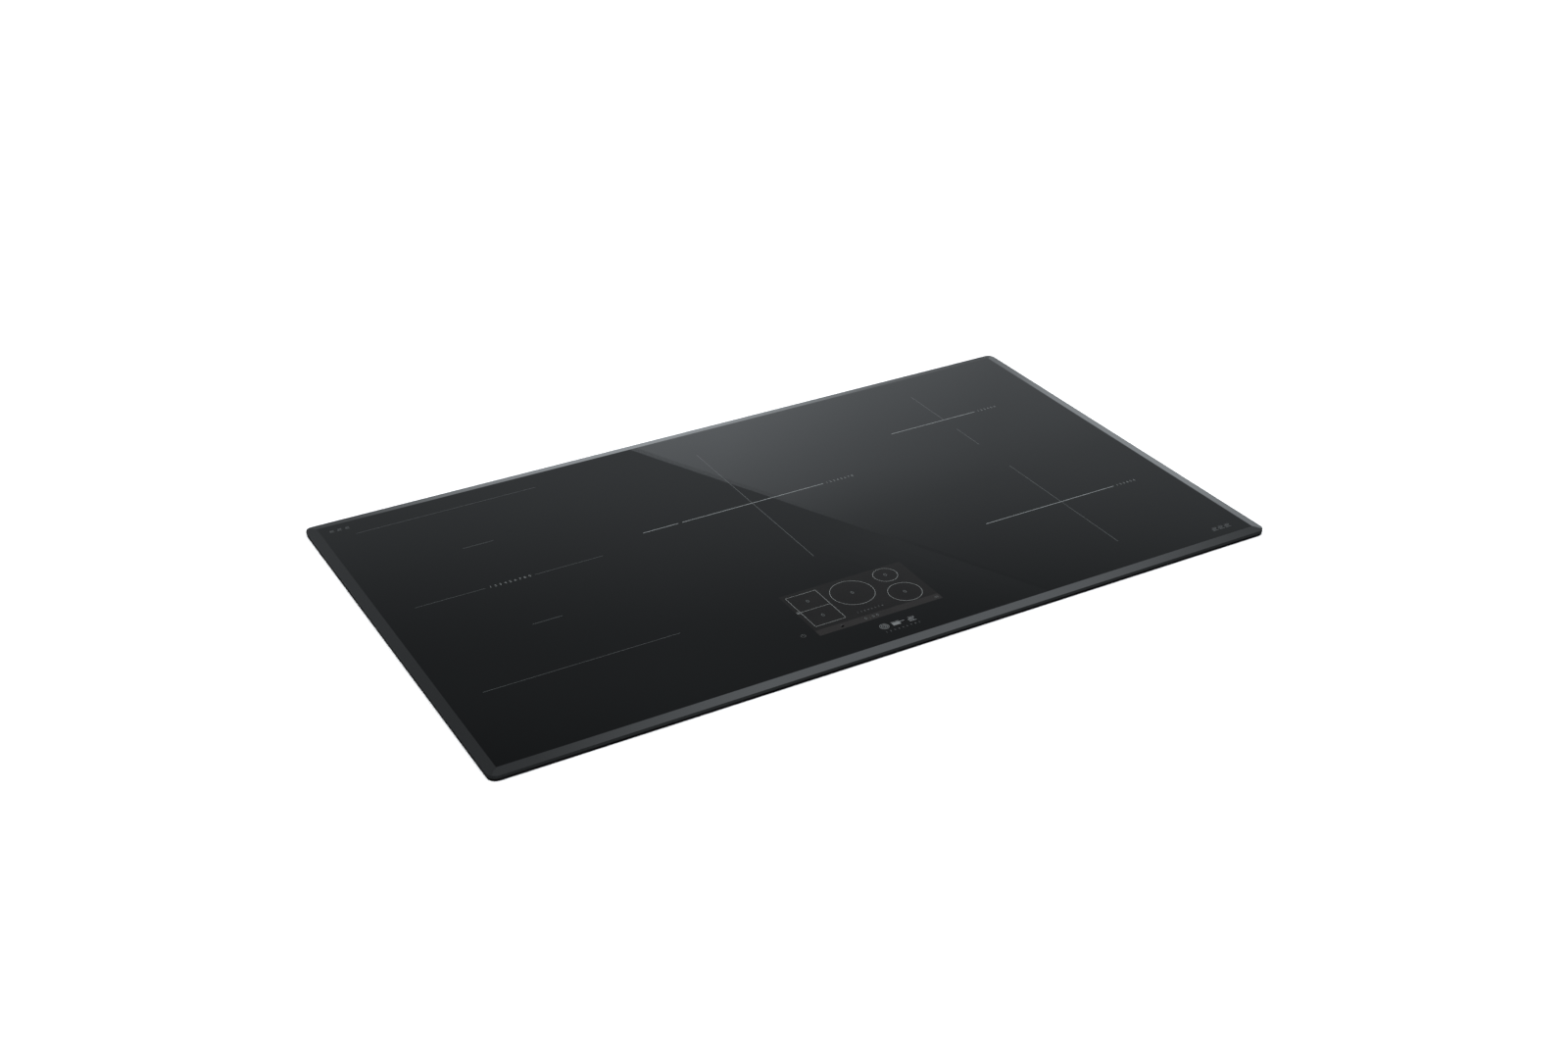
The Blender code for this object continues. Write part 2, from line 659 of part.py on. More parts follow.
def blower(side_name, side):
    """Scroll casing, lid with its motor, and the bladed wheel; side is -1 left, 1 right."""
    def placed(outline):
        return [(side * (BLOWER_X + u), BLOWER_Y + v) for u, v in outline]

    centre = (side * BLOWER_X, BLOWER_Y, BLOWER_LOW)
    top = BLOWER_LOW + BLOWER_HEIGHT
    outline = placed(scroll_outline(0.0, SCROLL_END))
    casing = prism(side_name + "_blower_casing", outline, BLOWER_LOW, top, DARK_PLASTIC)
    hollow = bmesh.new()
    inside = placed(scroll_outline(BLOWER_WALL, SCROLL_END + 0.01))
    add_prism(hollow, inside, BLOWER_LOW + BLOWER_WALL, top + 0.01)
    boolean(casing, "DIFFERENCE", hollow, "hollow")
    inlet = bmesh.new()
    add_rod(inlet, centre, 0.026, 0.01, 24)
    boolean(casing, "DIFFERENCE", inlet, "inlet")

    lid_low = top + GAP
    lid = prism(side_name + "_blower_lid", outline, lid_low, lid_low + 0.0015, DARK_PLASTIC)
    motor = bmesh.new()
    motor_low = 0.0165
    motor_high = lid_low + 0.0005
    add_rod(motor, (*centre[:2], (motor_low + motor_high) / 2), 0.013, motor_high - motor_low, 20)
    boolean(lid, "UNION", motor, "motor")

    back_low, back_high, cup_low, cup_high = 0.0300, 0.0315, 0.0125, 0.0140
    cup_in, cup_out = 0.0145, 0.0160
    profile = [
        (0.0, cup_high), (cup_in, cup_high), (cup_in, back_high), (IMPELLER_RADIUS, back_high),
        (IMPELLER_RADIUS, back_low), (cup_out, back_low), (cup_out, cup_low), (0.0, cup_low),
    ]
    wheel = turned(side_name + "_impeller", profile, 28, DARK_PLASTIC)
    wheel.location.xy = centre[:2]
    blades = bmesh.new()
    low, high = 0.0070, 0.0305
    lean = Matrix.Rotation(math.radians(side * 30), 4, "Z")
    size = Matrix.Diagonal((0.0080, 0.0012, high - low, 1.0))
    for i in range(IMPELLER_BLADES):
        turn = Matrix.Rotation(2 * math.pi * i / IMPELLER_BLADES, 4, "Z")
        place = turn @ Matrix.Translation((0.0310, 0.0, (low + high) / 2)) @ lean
        bmesh.ops.create_cube(blades, size=1.0, matrix=place @ size)
    for vert in blades.verts:
        vert.co += Vector((*centre[:2], 0.0))
    boolean(wheel, "UNION", blades, "blades")
    band_in, band_low, band_high = 0.0320, 0.0060, 0.0085
    profile = [
        (IMPELLER_RADIUS, band_high), (IMPELLER_RADIUS, band_low), (band_in, band_low), (band_in, band_high)
    ]
    band = turned(side_name + "_impeller_band", profile, 28, None, closed=True, group=TOOLS)
    band.location.xy = centre[:2]
    join = wheel.modifiers.new("band", "BOOLEAN")
    join.operation = "UNION"
    join.solver = "EXACT"
    join.object = band


# --- Hold-down clamps ----------------------------------------------------------------------------


def clamp(name, side, y):
    """Bracket on the box's side, its captive screw and the arm that climbs it."""
    wall = BOX_X + GAP + CLAMP_SHEET / 2
    ear = CLAMP_AXIS + 0.0075
    low_ear, high_ear = 0.013, 0.059
    axis = side * CLAMP_AXIS
    profile = [
        (side * ear, low_ear), (side * wall, low_ear), (side * wall, high_ear), (side * ear, high_ear)
    ]
    front, rear = y - CLAMP_WIDTH / 2, y + CLAMP_WIDTH / 2
    bracket = folded_strip(
        name + "_clamp_bracket", profile, front, rear, CLAMP_SHEET, GALVANISED, along="Y"
    )
    hole = bmesh.new()
    add_rod(hole, (axis, y, 0.040), CLAMP_SCREW_RADIUS + GAP, 0.080, 16)
    boolean(bracket, "DIFFERENCE", hole, "screw_hole")

    root, tip_in, tip_out, arm_top, half_arm = 0.4297, 0.4520, 0.4620, ARM_LOW + 0.008, 0.007
    outline = [
        (root, ARM_LOW), (tip_out, ARM_LOW), (tip_out, ARM_TIP), (tip_in, ARM_TIP),
        (tip_in, arm_top), (root, arm_top),
    ]
    sided = [(side * u, v) for u, v in outline]
    arm = prism(name + "_clamp_arm", sided, y - half_arm, y + half_arm, GALVANISED, along="Y")
    thread = bmesh.new()
    add_rod(thread, (axis, y, ARM_LOW), CLAMP_SCREW_RADIUS + GAP, 0.040, 16)
    boolean(arm, "DIFFERENCE", thread, "thread")

    head, head_low, screw_top = 0.0050, 0.0040, 0.0630
    head_high = low_ear - CLAMP_SHEET / 2 - GAP
    profile = [
        (0.0, screw_top), (CLAMP_SCREW_RADIUS, screw_top), (CLAMP_SCREW_RADIUS, head_high),
        (head, head_high), (head, head_low), (0.0, head_low),
    ]
    screw = turned(name + "_clamp_screw", profile, 16, SPRING_STEEL)
    screw.location = (axis, y, 0.0)
    slot = bmesh.new()
    low = (axis - 0.006, y - 0.0006, head_low - 0.001)
    add_block(slot, low, (axis + 0.006, y + 0.0006, head_low + 0.0015))
    boolean(screw, "DIFFERENCE", slot, "slot")


# --- Assembly ----------------------------------------------------------------------------------------

glass_top()
worktop_seal()
glass_frame()
burner_box()
supply_entry()
for zone, (x, y, radius) in ZONES.items():
    coil(zone, x, y, radius)
for name, edges in DECKS.items():
    deck(name, *edges)
for name, edges in BOARDS.items():
    inverter(name, *edges)
filter_board()
display()
cables()
blower("left", -1)
blower("right", 1)
for end, y in (("front", -CLAMP_Y), ("rear", CLAMP_Y)):
    clamp("left_" + end, -1, y)
    clamp("right_" + end, 1, y)
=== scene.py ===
"""Looks of the drop-in induction cooktop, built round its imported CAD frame."""

import json
import math

import bmesh
import bpy
from mathutils import Euler, Matrix, Vector


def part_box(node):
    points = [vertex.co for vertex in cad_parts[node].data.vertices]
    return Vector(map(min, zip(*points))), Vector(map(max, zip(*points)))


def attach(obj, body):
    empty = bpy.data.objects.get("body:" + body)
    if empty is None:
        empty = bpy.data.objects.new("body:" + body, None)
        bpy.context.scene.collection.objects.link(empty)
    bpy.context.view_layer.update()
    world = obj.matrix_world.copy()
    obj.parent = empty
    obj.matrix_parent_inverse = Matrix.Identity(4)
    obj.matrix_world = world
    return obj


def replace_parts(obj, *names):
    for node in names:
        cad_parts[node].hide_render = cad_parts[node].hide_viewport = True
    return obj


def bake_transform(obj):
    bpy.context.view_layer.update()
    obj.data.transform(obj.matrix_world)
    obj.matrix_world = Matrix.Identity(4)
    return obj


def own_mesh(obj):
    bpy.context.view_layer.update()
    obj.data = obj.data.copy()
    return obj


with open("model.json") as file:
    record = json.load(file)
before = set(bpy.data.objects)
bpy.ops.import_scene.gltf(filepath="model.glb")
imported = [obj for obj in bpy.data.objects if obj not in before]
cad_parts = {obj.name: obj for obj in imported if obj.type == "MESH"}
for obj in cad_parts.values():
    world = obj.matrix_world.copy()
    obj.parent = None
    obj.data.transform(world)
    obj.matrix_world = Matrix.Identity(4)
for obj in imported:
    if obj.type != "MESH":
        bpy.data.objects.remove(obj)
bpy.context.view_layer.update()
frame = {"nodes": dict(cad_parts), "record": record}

# --- Places, all from the frame ---

GLASS_MIN, GLASS_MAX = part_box("glass_top")
TOP = GLASS_MAX.z
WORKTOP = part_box("worktop_seal")[0].z
ZONE_NAMES = ("left_rear", "left_front", "centre", "right_rear", "right_front")
DECK_OF = {zone: zone.split("_")[0] + "_deck" for zone in ZONE_NAMES}


def middle(node):
    """Centre of a node's box."""
    low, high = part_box(node)
    return (low + high) / 2


def winding_radius(zone):
    """Outer radius of a zone's winding."""
    low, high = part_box(zone + "_winding")
    return (high.x - low.x) / 2


# --- Camera ---

LENS = 46.92  # mm on a 36 mm wide sensor
AZIMUTH = -29.69  # degrees, round from the front towards the left
ELEVATION = 29.29
ROLL = -0.13
AIM = Vector((0.0077, 0.0145, TOP))
DISTANCE = 2.3016


def add_camera():
    """The camera, aimed at the glass from the front left."""
    data = bpy.data.cameras.new("camera")
    data.lens = LENS
    data.sensor_width = 36.0
    data.clip_end = 200.0
    camera = bpy.data.objects.new("camera", data)
    bpy.context.scene.collection.objects.link(camera)
    turn = Euler((math.radians(90.0 - ELEVATION), 0.0, math.radians(AZIMUTH))).to_matrix()
    spin = Matrix.Rotation(math.radians(ROLL), 3, "Z")
    back = turn @ Vector((0.0, 0.0, 1.0))
    camera.matrix_world = Matrix.Translation(AIM + back * DISTANCE) @ (turn @ spin).to_4x4()
    bpy.context.scene.camera = camera


# --- Material helpers ---


def fill_ramp(node, stops):
    """Set a colour ramp's stops of (position, colour or grey)."""
    while len(node.color_ramp.elements) < len(stops):
        node.color_ramp.elements.new(0.5)
    for element, (position, colour) in zip(node.color_ramp.elements, stops):
        element.position = position
        shade = colour if isinstance(colour, tuple) else (colour,) * 3
        element.color = (*shade, 1.0)


class Nodes:
    """Short names for building one material's node tree."""

    def __init__(self, name):
        self.material = bpy.data.materials.new(name)
        self.material.use_nodes = True
        self.tree = self.material.node_tree
        self.shader = self.tree.nodes["Principled BSDF"]
        self.place = self.add("ShaderNodeTexCoord").outputs["Object"]

    def add(self, kind, **settings):
        """A new node with its settings."""
        node = self.tree.nodes.new(kind)
        for key, value in settings.items():
            setattr(node, key, value)
        return node

    def link(self, out, to):
        """Join an output to an input."""
        self.tree.links.new(out, to)

    def noise(self, scale, detail=3.0, rough=0.5, stretch=(1.0, 1.0, 1.0)):
        """Noise over the object, in cycles per metre, stretched along an axis."""
        mapping = self.add("ShaderNodeMapping")
        mapping.inputs["Scale"].default_value = stretch
        self.link(self.place, mapping.inputs["Vector"])
        node = self.add("ShaderNodeTexNoise")
        node.inputs["Scale"].default_value = scale
        node.inputs["Detail"].default_value = detail
        node.inputs["Roughness"].default_value = rough
        self.link(mapping.outputs["Vector"], node.inputs["Vector"])
        return node.outputs["Fac"]

    def cells(self, scale):
        """A random colour for each Voronoi cell, in cells per metre."""
        node = self.add("ShaderNodeTexVoronoi")
        node.inputs["Scale"].default_value = scale
        self.link(self.place, node.inputs["Vector"])
        return node.outputs["Color"]

    def colour(self, value, stops):
        """Set the base colour to a value's place on a ramp."""
        node = self.add("ShaderNodeValToRGB")
        fill_ramp(node, stops)
        self.link(value, node.inputs["Fac"])
        self.link(node.outputs["Color"], self.shader.inputs["Base Color"])

    def roughness(self, value, low, high):
        """Set the roughness to a 0 to 1 value spread between low and high."""
        node = self.add("ShaderNodeMapRange")
        node.inputs["To Min"].default_value = low
        node.inputs["To Max"].default_value = high
        self.link(value, node.inputs["Value"])
        self.link(node.outputs["Result"], self.shader.inputs["Roughness"])

    def bump(self, height, strength, distance):
        """Feed a height to the shader's normal; distance is in metres."""
        node = self.add("ShaderNodeBump")
        node.inputs["Strength"].default_value = strength
        node.inputs["Distance"].default_value = distance
        self.link(height, node.inputs["Height"])
        self.link(node.outputs["Normal"], self.shader.inputs["Normal"])

    def fixed(self, **values):
        """Set uniform shader values by socket name, with _ for a space."""
        for key, value in values.items():
            self.shader.inputs[key.replace("_", " ")].default_value = value
        return self


def glass_material(name, tint, rough_low, rough_high):
    """Black glass-ceramic: deep tint, faint wiped haze, barely wavy."""
    made = Nodes(name).fixed(IOR=1.5)
    dark = tuple(part * 0.8 for part in tint)
    made.colour(made.noise(6.0), [(0.35, dark), (0.65, tint)])
    made.roughness(made.noise(9.0, 5.0, 0.6, (1.0, 2.5, 1.0)), rough_low, rough_high)
    made.bump(made.noise(14.0, 1.0), 0.02, 0.0004)
    return made.material


def dull(material):
    """Take a material's gloss away."""
    shader = material.node_tree.nodes["Principled BSDF"]
    shader.inputs["Specular IOR Level"].default_value = 0.0


def ink_material(name, light, dark):
    """Fired enamel print with slightly uneven cover."""
    made = Nodes(name).fixed(IOR=1.5)
    made.colour(made.noise(900.0, 2.0), [(0.3, dark), (0.7, light)])
    made.roughness(made.noise(700.0), 0.10, 0.18)
    return made.material


def screen_material(name, near, far):
    """Unlit liquid-crystal panel behind dark glass, its tone slightly uneven."""
    made = Nodes(name).fixed(IOR=1.5)
    made.colour(made.noise(30.0, 2.0), [(0.3, near), (0.7, far)])
    made.roughness(made.noise(60.0), 0.06, 0.10)
    return made.material


# --- Lights, floor and reflections ---

COOL = (0.935, 1.0, 1.055)  # the slightly blue cast of the studio's light
RAMP_GAIN = 2.0  # a ramp holds at most 1, so its light is this many times its value


def add_world():
    """Studio surroundings: pale near the horizon, a dark band, and a soft ceiling."""
    world = bpy.data.worlds.new("studio")
    bpy.context.scene.world = world
    world.use_nodes = True
    tree = world.node_tree
    place = tree.nodes.new("ShaderNodeTexCoord")
    split = tree.nodes.new("ShaderNodeSeparateXYZ")
    tree.links.new(place.outputs["Generated"], split.inputs["Vector"])
    ramp = tree.nodes.new("ShaderNodeValToRGB")
    ramp.color_ramp.interpolation = "EASE"
    bands = [  # (elevation in degrees, brightness)
        (0.0, 0.90), (6.0, 0.90), (10.0, 0.32), (20.0, 0.36),
        (27.0, 0.31), (33.0, 0.13), (38.0, 0.07), (46.0, 0.55),
    ]
    fill_ramp(ramp, [
        (math.sin(math.radians(elevation)), tuple(brightness / RAMP_GAIN * part for part in COOL))
        for elevation, brightness in bands
    ])
    tree.links.new(split.outputs["Z"], ramp.inputs["Fac"])
    background = tree.nodes["Background"]
    background.inputs["Strength"].default_value = RAMP_GAIN
    tree.links.new(ramp.outputs["Color"], background.inputs["Color"])


def add_lamps():
    """A broad overhead light that whitens the worktop and stays out of reflections."""
    data = bpy.data.lights.new("overhead", "SUN")
    data.energy = 3.4
    data.angle = math.radians(70.0)
    lamp = bpy.data.objects.new("overhead", data)
    lamp.rotation_euler = (math.radians(12.0), math.radians(-8.0), 0.0)
    lamp.visible_glossy = False
    bpy.context.scene.collection.objects.link(lamp)


def card_material(name, across, upwards):
    """Light added to what lies behind: a ramp along X times one along Z, over the card's box."""
    made = bpy.data.materials.new(name)
    made.use_nodes = True
    tree = made.node_tree
    tree.nodes.clear()
    out = tree.nodes.new("ShaderNodeOutputMaterial")
    glow = tree.nodes.new("ShaderNodeEmission")
    both = tree.nodes.new("ShaderNodeAddShader")
    tree.links.new(glow.outputs["Emission"], both.inputs[0])
    tree.links.new(tree.nodes.new("ShaderNodeBsdfTransparent").outputs["BSDF"], both.inputs[1])
    tree.links.new(both.outputs["Shader"], out.inputs["Surface"])
    place = tree.nodes.new("ShaderNodeTexCoord").outputs["Generated"]
    split = tree.nodes.new("ShaderNodeSeparateXYZ")
    tree.links.new(place, split.inputs["Vector"])
    product = tree.nodes.new("ShaderNodeMath")
    product.operation = "MULTIPLY"
    for i, (axis, stops) in enumerate((("X", across), ("Z", upwards))):
        ramp = tree.nodes.new("ShaderNodeValToRGB")
        fill_ramp(ramp, stops)
        tree.links.new(split.outputs[axis], ramp.inputs["Fac"])
        tree.links.new(ramp.outputs["Color"], product.inputs[i])
    gain = tree.nodes.new("ShaderNodeMath")
    gain.operation = "MULTIPLY"
    gain.inputs[1].default_value = RAMP_GAIN
    tree.links.new(product.outputs["Value"], gain.inputs[0])
    tree.links.new(gain.outputs["Value"], glow.inputs["Strength"])
    glow.inputs["Color"].default_value = (*COOL, 1.0)
    return made


CARD_Y = 4.0  # the reflection cards stand on one wall, this far behind the cooktop


def even(value):
    """A ramp's stops for the same value all along."""
    return [(0.0, value), (1.0, value)]


def add_card(name, corners, across, upwards, behind=0.0):
    """A card that only reflections see, its corners as (x, height over the glass)."""
    mesh = bpy.data.meshes.new(name)
    points = [(x, CARD_Y + behind, TOP + z) for x, z in corners]
    mesh.from_pydata(points, [], [tuple(range(len(corners)))])
    card = bpy.data.objects.new(name, mesh)
    bpy.context.scene.collection.objects.link(card)
    mesh.materials.append(card_material(name, across, upwards))
    card.visible_camera = False
    card.visible_diffuse = False
    card.visible_shadow = False


def add_cards():
    """The slanting softbox that the glass shows, and the bands that light its facets."""
    low, high = 2.02, 3.40  # the softbox's heights
    left, right, lean = 1.50, 6.0, 2.27  # lean: its left edge slants to the right by this much
    upright = [(0.0, 0.78), (0.08, 0.61), (0.21, 0.48), (0.32, 0.38), (0.45, 0.21), (0.57, 0.13),
               (0.70, 0.07), (1.0, 0.0)]
    add_card(
        "softbox", [(left, low), (right, low), (right, high), (left + lean, high)],
        [(0.0, 0.50), (0.12, 0.50), (0.25, 0.325), (0.38, 0.205), (1.0, 0.215)], upright,
    )
    rim = 0.025
    add_card(
        "softbox_rim",
        [(left, low), (left + rim, low), (left + lean + rim, high), (left + lean, high)],
        even(0.08), [(0.0, 0.8), (0.35, 0.7), (0.50, 0.3), (0.62, 0.0)],
    )
    strips, strip = 5, 0.065
    for i in range(strips):  # the softbox's edge blurs away towards its upper end
        outer, inner = left - strip * (i + 1), left - strip * i
        add_card(
            f"softbox_fade_{i + 1}",
            [(outer, low), (inner, low), (inner + lean, high), (outer + lean, high)],
            even(0.25 * (1.0 - (i + 0.5) / strips)),
            [(0.44, 0.0), (0.57, 0.085), (0.70, 0.07), (0.86, 0.04), (1.0, 0.0)],
        )
    edge = left - 0.014
    add_card(  # faint light left of the softbox, just behind it
        "ceiling_glow", [(0.3, low), (edge, low), (edge + lean, high), (1.0, high)],
        [(0.16, 0.011), (0.32, 0.020), (0.43, 0.027), (0.60, 0.025), (0.72, 0.018), (0.87, 0.008)],
        [(0.0, 0.9), (0.28, 0.8), (0.40, 0.95), (0.52, 1.0), (0.80, 0.8), (1.0, 0.7)],
        behind=0.03,
    )
    bands = {  # facet: (left, right, low, high, the ramp along it)
        "rear": (0.3, 4.3, 0.55, 1.42, [
            (0.0575, 0.0), (0.1375, 0.31), (0.2175, 0.57), (0.2975, 0.66), (0.3775, 0.555),
            (0.4575, 0.37), (0.5375, 0.155), (0.6175, 0.025), (0.72, 0.0)]),
        "right": (3.3, 5.9, 0.95, 2.0, [
            (0.19, 0.26), (0.285, 0.51), (0.385, 0.54), (0.5, 0.58), (0.62, 0.60), (0.76, 0.44)]),
        "front": (1.4, 7.0, 4.6, 7.6, [
            (0.08, 0.02), (0.19, 0.33), (0.30, 0.59), (0.405, 0.54), (0.514, 0.53), (0.62, 0.54),
            (0.73, 0.44), (0.84, 0.24), (1.0, 0.16)]),
        "left": (-1.2, 0.35, 2.2, 3.7, even(0.14)),
    }
    for facet, (left, right, low, high, across) in bands.items():
        corners = [(left, low), (right, low), (right, high), (left, high)]
        add_card(facet + "_facet_band", corners, across, even(1.0))


def add_floor():
    """White worktop under the seal, with the cut-out that the burner box drops through."""
    level = WORKTOP - 0.0005  # just clear of the seal
    gap = 0.0035  # from the burner box to the cut-out's edge
    far = 60.0
    (low_x, low_y, _), (high_x, high_y, _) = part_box("burner_box")
    shape = bmesh.new()
    hole = [(low_x - gap, low_y - gap), (high_x + gap, low_y - gap),
            (high_x + gap, high_y + gap), (low_x - gap, high_y + gap)]
    rim = [(-far, -far), (far, -far), (far, far), (-far, far)]
    inside, outside = (
        [shape.verts.new((x, y, level)) for x, y in loop] for loop in (hole, rim)
    )
    for i in range(4):
        j = (i + 1) % 4
        shape.faces.new([inside[i], outside[i], outside[j], inside[j]])
    made = Nodes("worktop_white").fixed(Specular_IOR_Level=0.0, Roughness=0.9)
    made.colour(made.noise(3.0), [(0.0, 0.93), (1.0, 0.95)])
    new_object("worktop", shape, [made.material])


# --- Shape helpers ---


def polar(centre, reach, angle):
    """The (x, y) at a reach and an angle in radians from a centre."""
    return (centre[0] + reach * math.cos(angle), centre[1] + reach * math.sin(angle))


def new_object(name, shape, materials):
    """Turn a bmesh into an object of the scene."""
    bmesh.ops.recalc_face_normals(shape, faces=shape.faces)
    mesh = bpy.data.meshes.new(name)
    shape.to_mesh(mesh)
    shape.free()
    for material in materials:
        mesh.materials.append(material)
    made = bpy.data.objects.new(name, mesh)
    bpy.context.scene.collection.objects.link(made)
    return made


def finish_mesh(name, shape, materials, body="cooktop"):
    """Turn a bmesh into a piece that rides on a body."""
    piece = new_object(name, shape, materials)
    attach(piece, body)
    return piece


def add_block(shape, low, high):
    """A box between two corners."""
    low, high = Vector(low), Vector(high)
    place = Matrix.Translation((low + high) / 2)
    bmesh.ops.create_cube(shape, size=1.0, matrix=place @ Matrix.Diagonal((*(high - low), 1.0)))


def add_prism(shape, outline, low, high):
    """Extrude a flat outline upwards between two levels."""
    face = shape.faces.new([shape.verts.new((x, y, low)) for x, y in outline])
    grown = bmesh.ops.extrude_face_region(shape, geom=[face])
    moved = [item for item in grown["geom"] if isinstance(item, bmesh.types.BMVert)]
    bmesh.ops.translate(shape, verts=moved, vec=(0.0, 0.0, high - low))


INK_DEPTH = 0.00002  # how far the print stands into and out of the glass


def add_line(shape, start, end, width):
    """A printed straight line from start to end, (x, y) each."""
    start, end = Vector(start), Vector(end)
    side = (end - start).normalized().orthogonal() * width / 2
    outline = [start - side, end - side, end + side, start + side]
    add_prism(shape, outline, TOP - INK_DEPTH, TOP + INK_DEPTH)


def add_band(shape, centre, radii, levels, steps, start=0.0, sweep=360.0):
    """A flat ring or arc between two radii and two levels, angles in degrees."""
    whole = sweep >= 360.0
    rows = []
    for i in range(steps if whole else steps + 1):
        angle = math.radians(start + sweep * i / steps)
        places = [(*polar(centre, reach, angle), level) for reach in radii for level in levels]
        rows.append([shape.verts.new(place) for place in places])
    pairs = list(zip(rows, rows[1:]))
    if whole:
        pairs.append((rows[-1], rows[0]))
    for one, two in pairs:
        for a, b in ((0, 1), (1, 3), (3, 2), (2, 0)):
            shape.faces.new([one[a], one[b], two[b], two[a]])
    if not whole:
        for end in (rows[0], rows[-1]):
            shape.faces.new([end[0], end[1], end[3], end[2]])


def add_ring(shape, centre, radius, width, steps=96, start=0.0, sweep=360.0):
    """A printed ring or arc about centre."""
    radii = (radius - width / 2, radius + width / 2)
    add_band(shape, centre, radii, (TOP - INK_DEPTH, TOP + INK_DEPTH), steps, start, sweep)


def add_digits(shape, text, centre, height):
    """Printed numerals centred on a point of the glass."""
    curve = bpy.data.curves.new("numerals", "FONT")
    curve.body = text
    curve.size = height * 1.4  # a numeral is about 1 / 1.4 of its size high
    curve.align_x = "CENTER"
    curve.align_y = "CENTER"
    curve.extrude = INK_DEPTH
    curve.resolution_u = 3
    holder = bpy.data.objects.new("numerals", curve)
    bpy.context.scene.collection.objects.link(holder)
    bpy.context.view_layer.update()
    shown = holder.evaluated_get(bpy.context.evaluated_depsgraph_get())
    mesh = bpy.data.meshes.new_from_object(shown)
    mesh.transform(Matrix.Translation((*centre, TOP)))
    part = bmesh.new()
    part.from_mesh(mesh)
    bmesh.ops.remove_doubles(part, verts=part.verts, dist=0.000002)
    part.to_mesh(mesh)
    part.free()
    shape.from_mesh(mesh)
    bpy.data.objects.remove(holder)
    bpy.data.curves.remove(curve)
    bpy.data.meshes.remove(mesh)


def add_bevel(piece, name, width, segments, angle):
    """Bevel a piece's edges that are sharper than an angle in degrees."""
    edge = piece.modifiers.new(name, "BEVEL")
    edge.width = width
    edge.segments = segments
    edge.limit_method = "ANGLE"
    edge.angle_limit = math.radians(angle)
    return edge


# --- Glass ---

CORNER_RADIUS = 0.010
FACET_WIDTH = 0.0113
FACET_DROP = 0.00174
ARRIS = 0.0005  # width of the dulled edges


def glass_outline(steps):
    """The glass's outline with round corners, anticlockwise."""
    points = []
    for turn, (x, y) in enumerate([(1, 1), (-1, 1), (-1, -1), (1, -1)]):
        centre = (x * (GLASS_MAX.x - CORNER_RADIUS), y * (GLASS_MAX.y - CORNER_RADIUS))
        for i in range(steps + 1):
            points.append(polar(centre, CORNER_RADIUS, math.radians(90.0 * (turn + i / steps))))
    return points


def add_glass():
    """Glass plate with ground facets that meet in mitres, all its edges slightly dulled."""
    top = glass_material("black_glass", (0.0008, 0.0010, 0.0011), 0.0, 0.012)
    facet = glass_material("ground_facet", (0.0022, 0.0024, 0.0025), 0.08, 0.11)
    side = glass_material("ground_edge", (0.0175, 0.0186, 0.0191), 0.55, 0.65)
    dull(side)
    shape = bmesh.new()
    add_prism(shape, glass_outline(16), GLASS_MIN.z, TOP)
    half_x, half_y = GLASS_MAX.x, GLASS_MAX.y
    for x, y, reach in ((1, 0, half_x), (-1, 0, half_x), (0, 1, half_y), (0, -1, half_y)):
        inset = reach - FACET_WIDTH
        cut = bmesh.ops.bisect_plane(
            shape, geom=[*shape.verts, *shape.edges, *shape.faces],
            plane_co=(x * inset, y * inset, TOP),
            plane_no=(x * FACET_DROP, y * FACET_DROP, FACET_WIDTH), clear_outer=True,
        )
        rim = [edge for edge in cut["geom_cut"] if isinstance(edge, bmesh.types.BMEdge)]
        bmesh.ops.contextual_create(shape, geom=rim)
    bmesh.ops.recalc_face_normals(shape, faces=shape.faces)
    for face in shape.faces:
        slope = face.normal.z
        face.material_index = 0 if abs(slope) > 0.999 else 1 if slope > 0.5 else 2
        face.smooth = True
    glass = finish_mesh("ceramic_glass", shape, [top, facet, side])
    edge = add_bevel(glass, "arris", ARRIS, 3, 5.0)
    edge.harden_normals = True
    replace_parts(glass, "glass_top")


# --- Print on the glass ---

STRONG = 0.0009  # widths of the printed lines
FINE = 0.0005


def finish_print(name, shape, ink):
    """Turn a printed shape into a piece of the glass."""
    finish_mesh(name, shape, [ink])


def add_numerals(shape, count, first, step, y, height):
    """A row of numerals from 1 up, the first one's middle at (first, y)."""
    for i in range(count):
        add_digits(shape, str(i + 1), (first + step * i, y), height)


def add_bridge_marks(ink, pale):
    """Three lines and two dashes that bound the left bridge zone and its halves."""
    rear, front = middle("left_rear_winding"), middle("left_front_winding")
    pitch = rear.y - front.y
    half = 0.1085
    left, right = rear.x - half, rear.x + half
    centre_y = (rear.y + front.y) / 2
    shape = bmesh.new()
    for step, shift in ((-1, 0.0012), (1, 0.0)):
        y = centre_y + step * pitch
        add_line(shape, (left + shift, y), (right + shift, y), FINE)
    numerals = 9
    gap_low, gap_high = rear.x - 0.026, rear.x + 0.025  # the numerals' gap in the middle line
    add_line(shape, (left, centre_y), (gap_low - 0.003, centre_y), FINE)
    add_line(shape, (gap_high + 0.003, centre_y), (right, centre_y), FINE)
    for y, before, after in ((rear.y, 0.018, 0.018), (front.y, 0.0145, 0.019)):
        add_line(shape, (rear.x - before, y), (rear.x + after, y), FINE * 1.2)
    finish_print("bridge_zone_marks", shape, ink)
    step = (gap_high - gap_low) / numerals
    shape = bmesh.new()
    add_numerals(shape, numerals, gap_low + step / 2, step, centre_y, 0.0040)
    finish_print("bridge_pan_sizes", shape, pale)


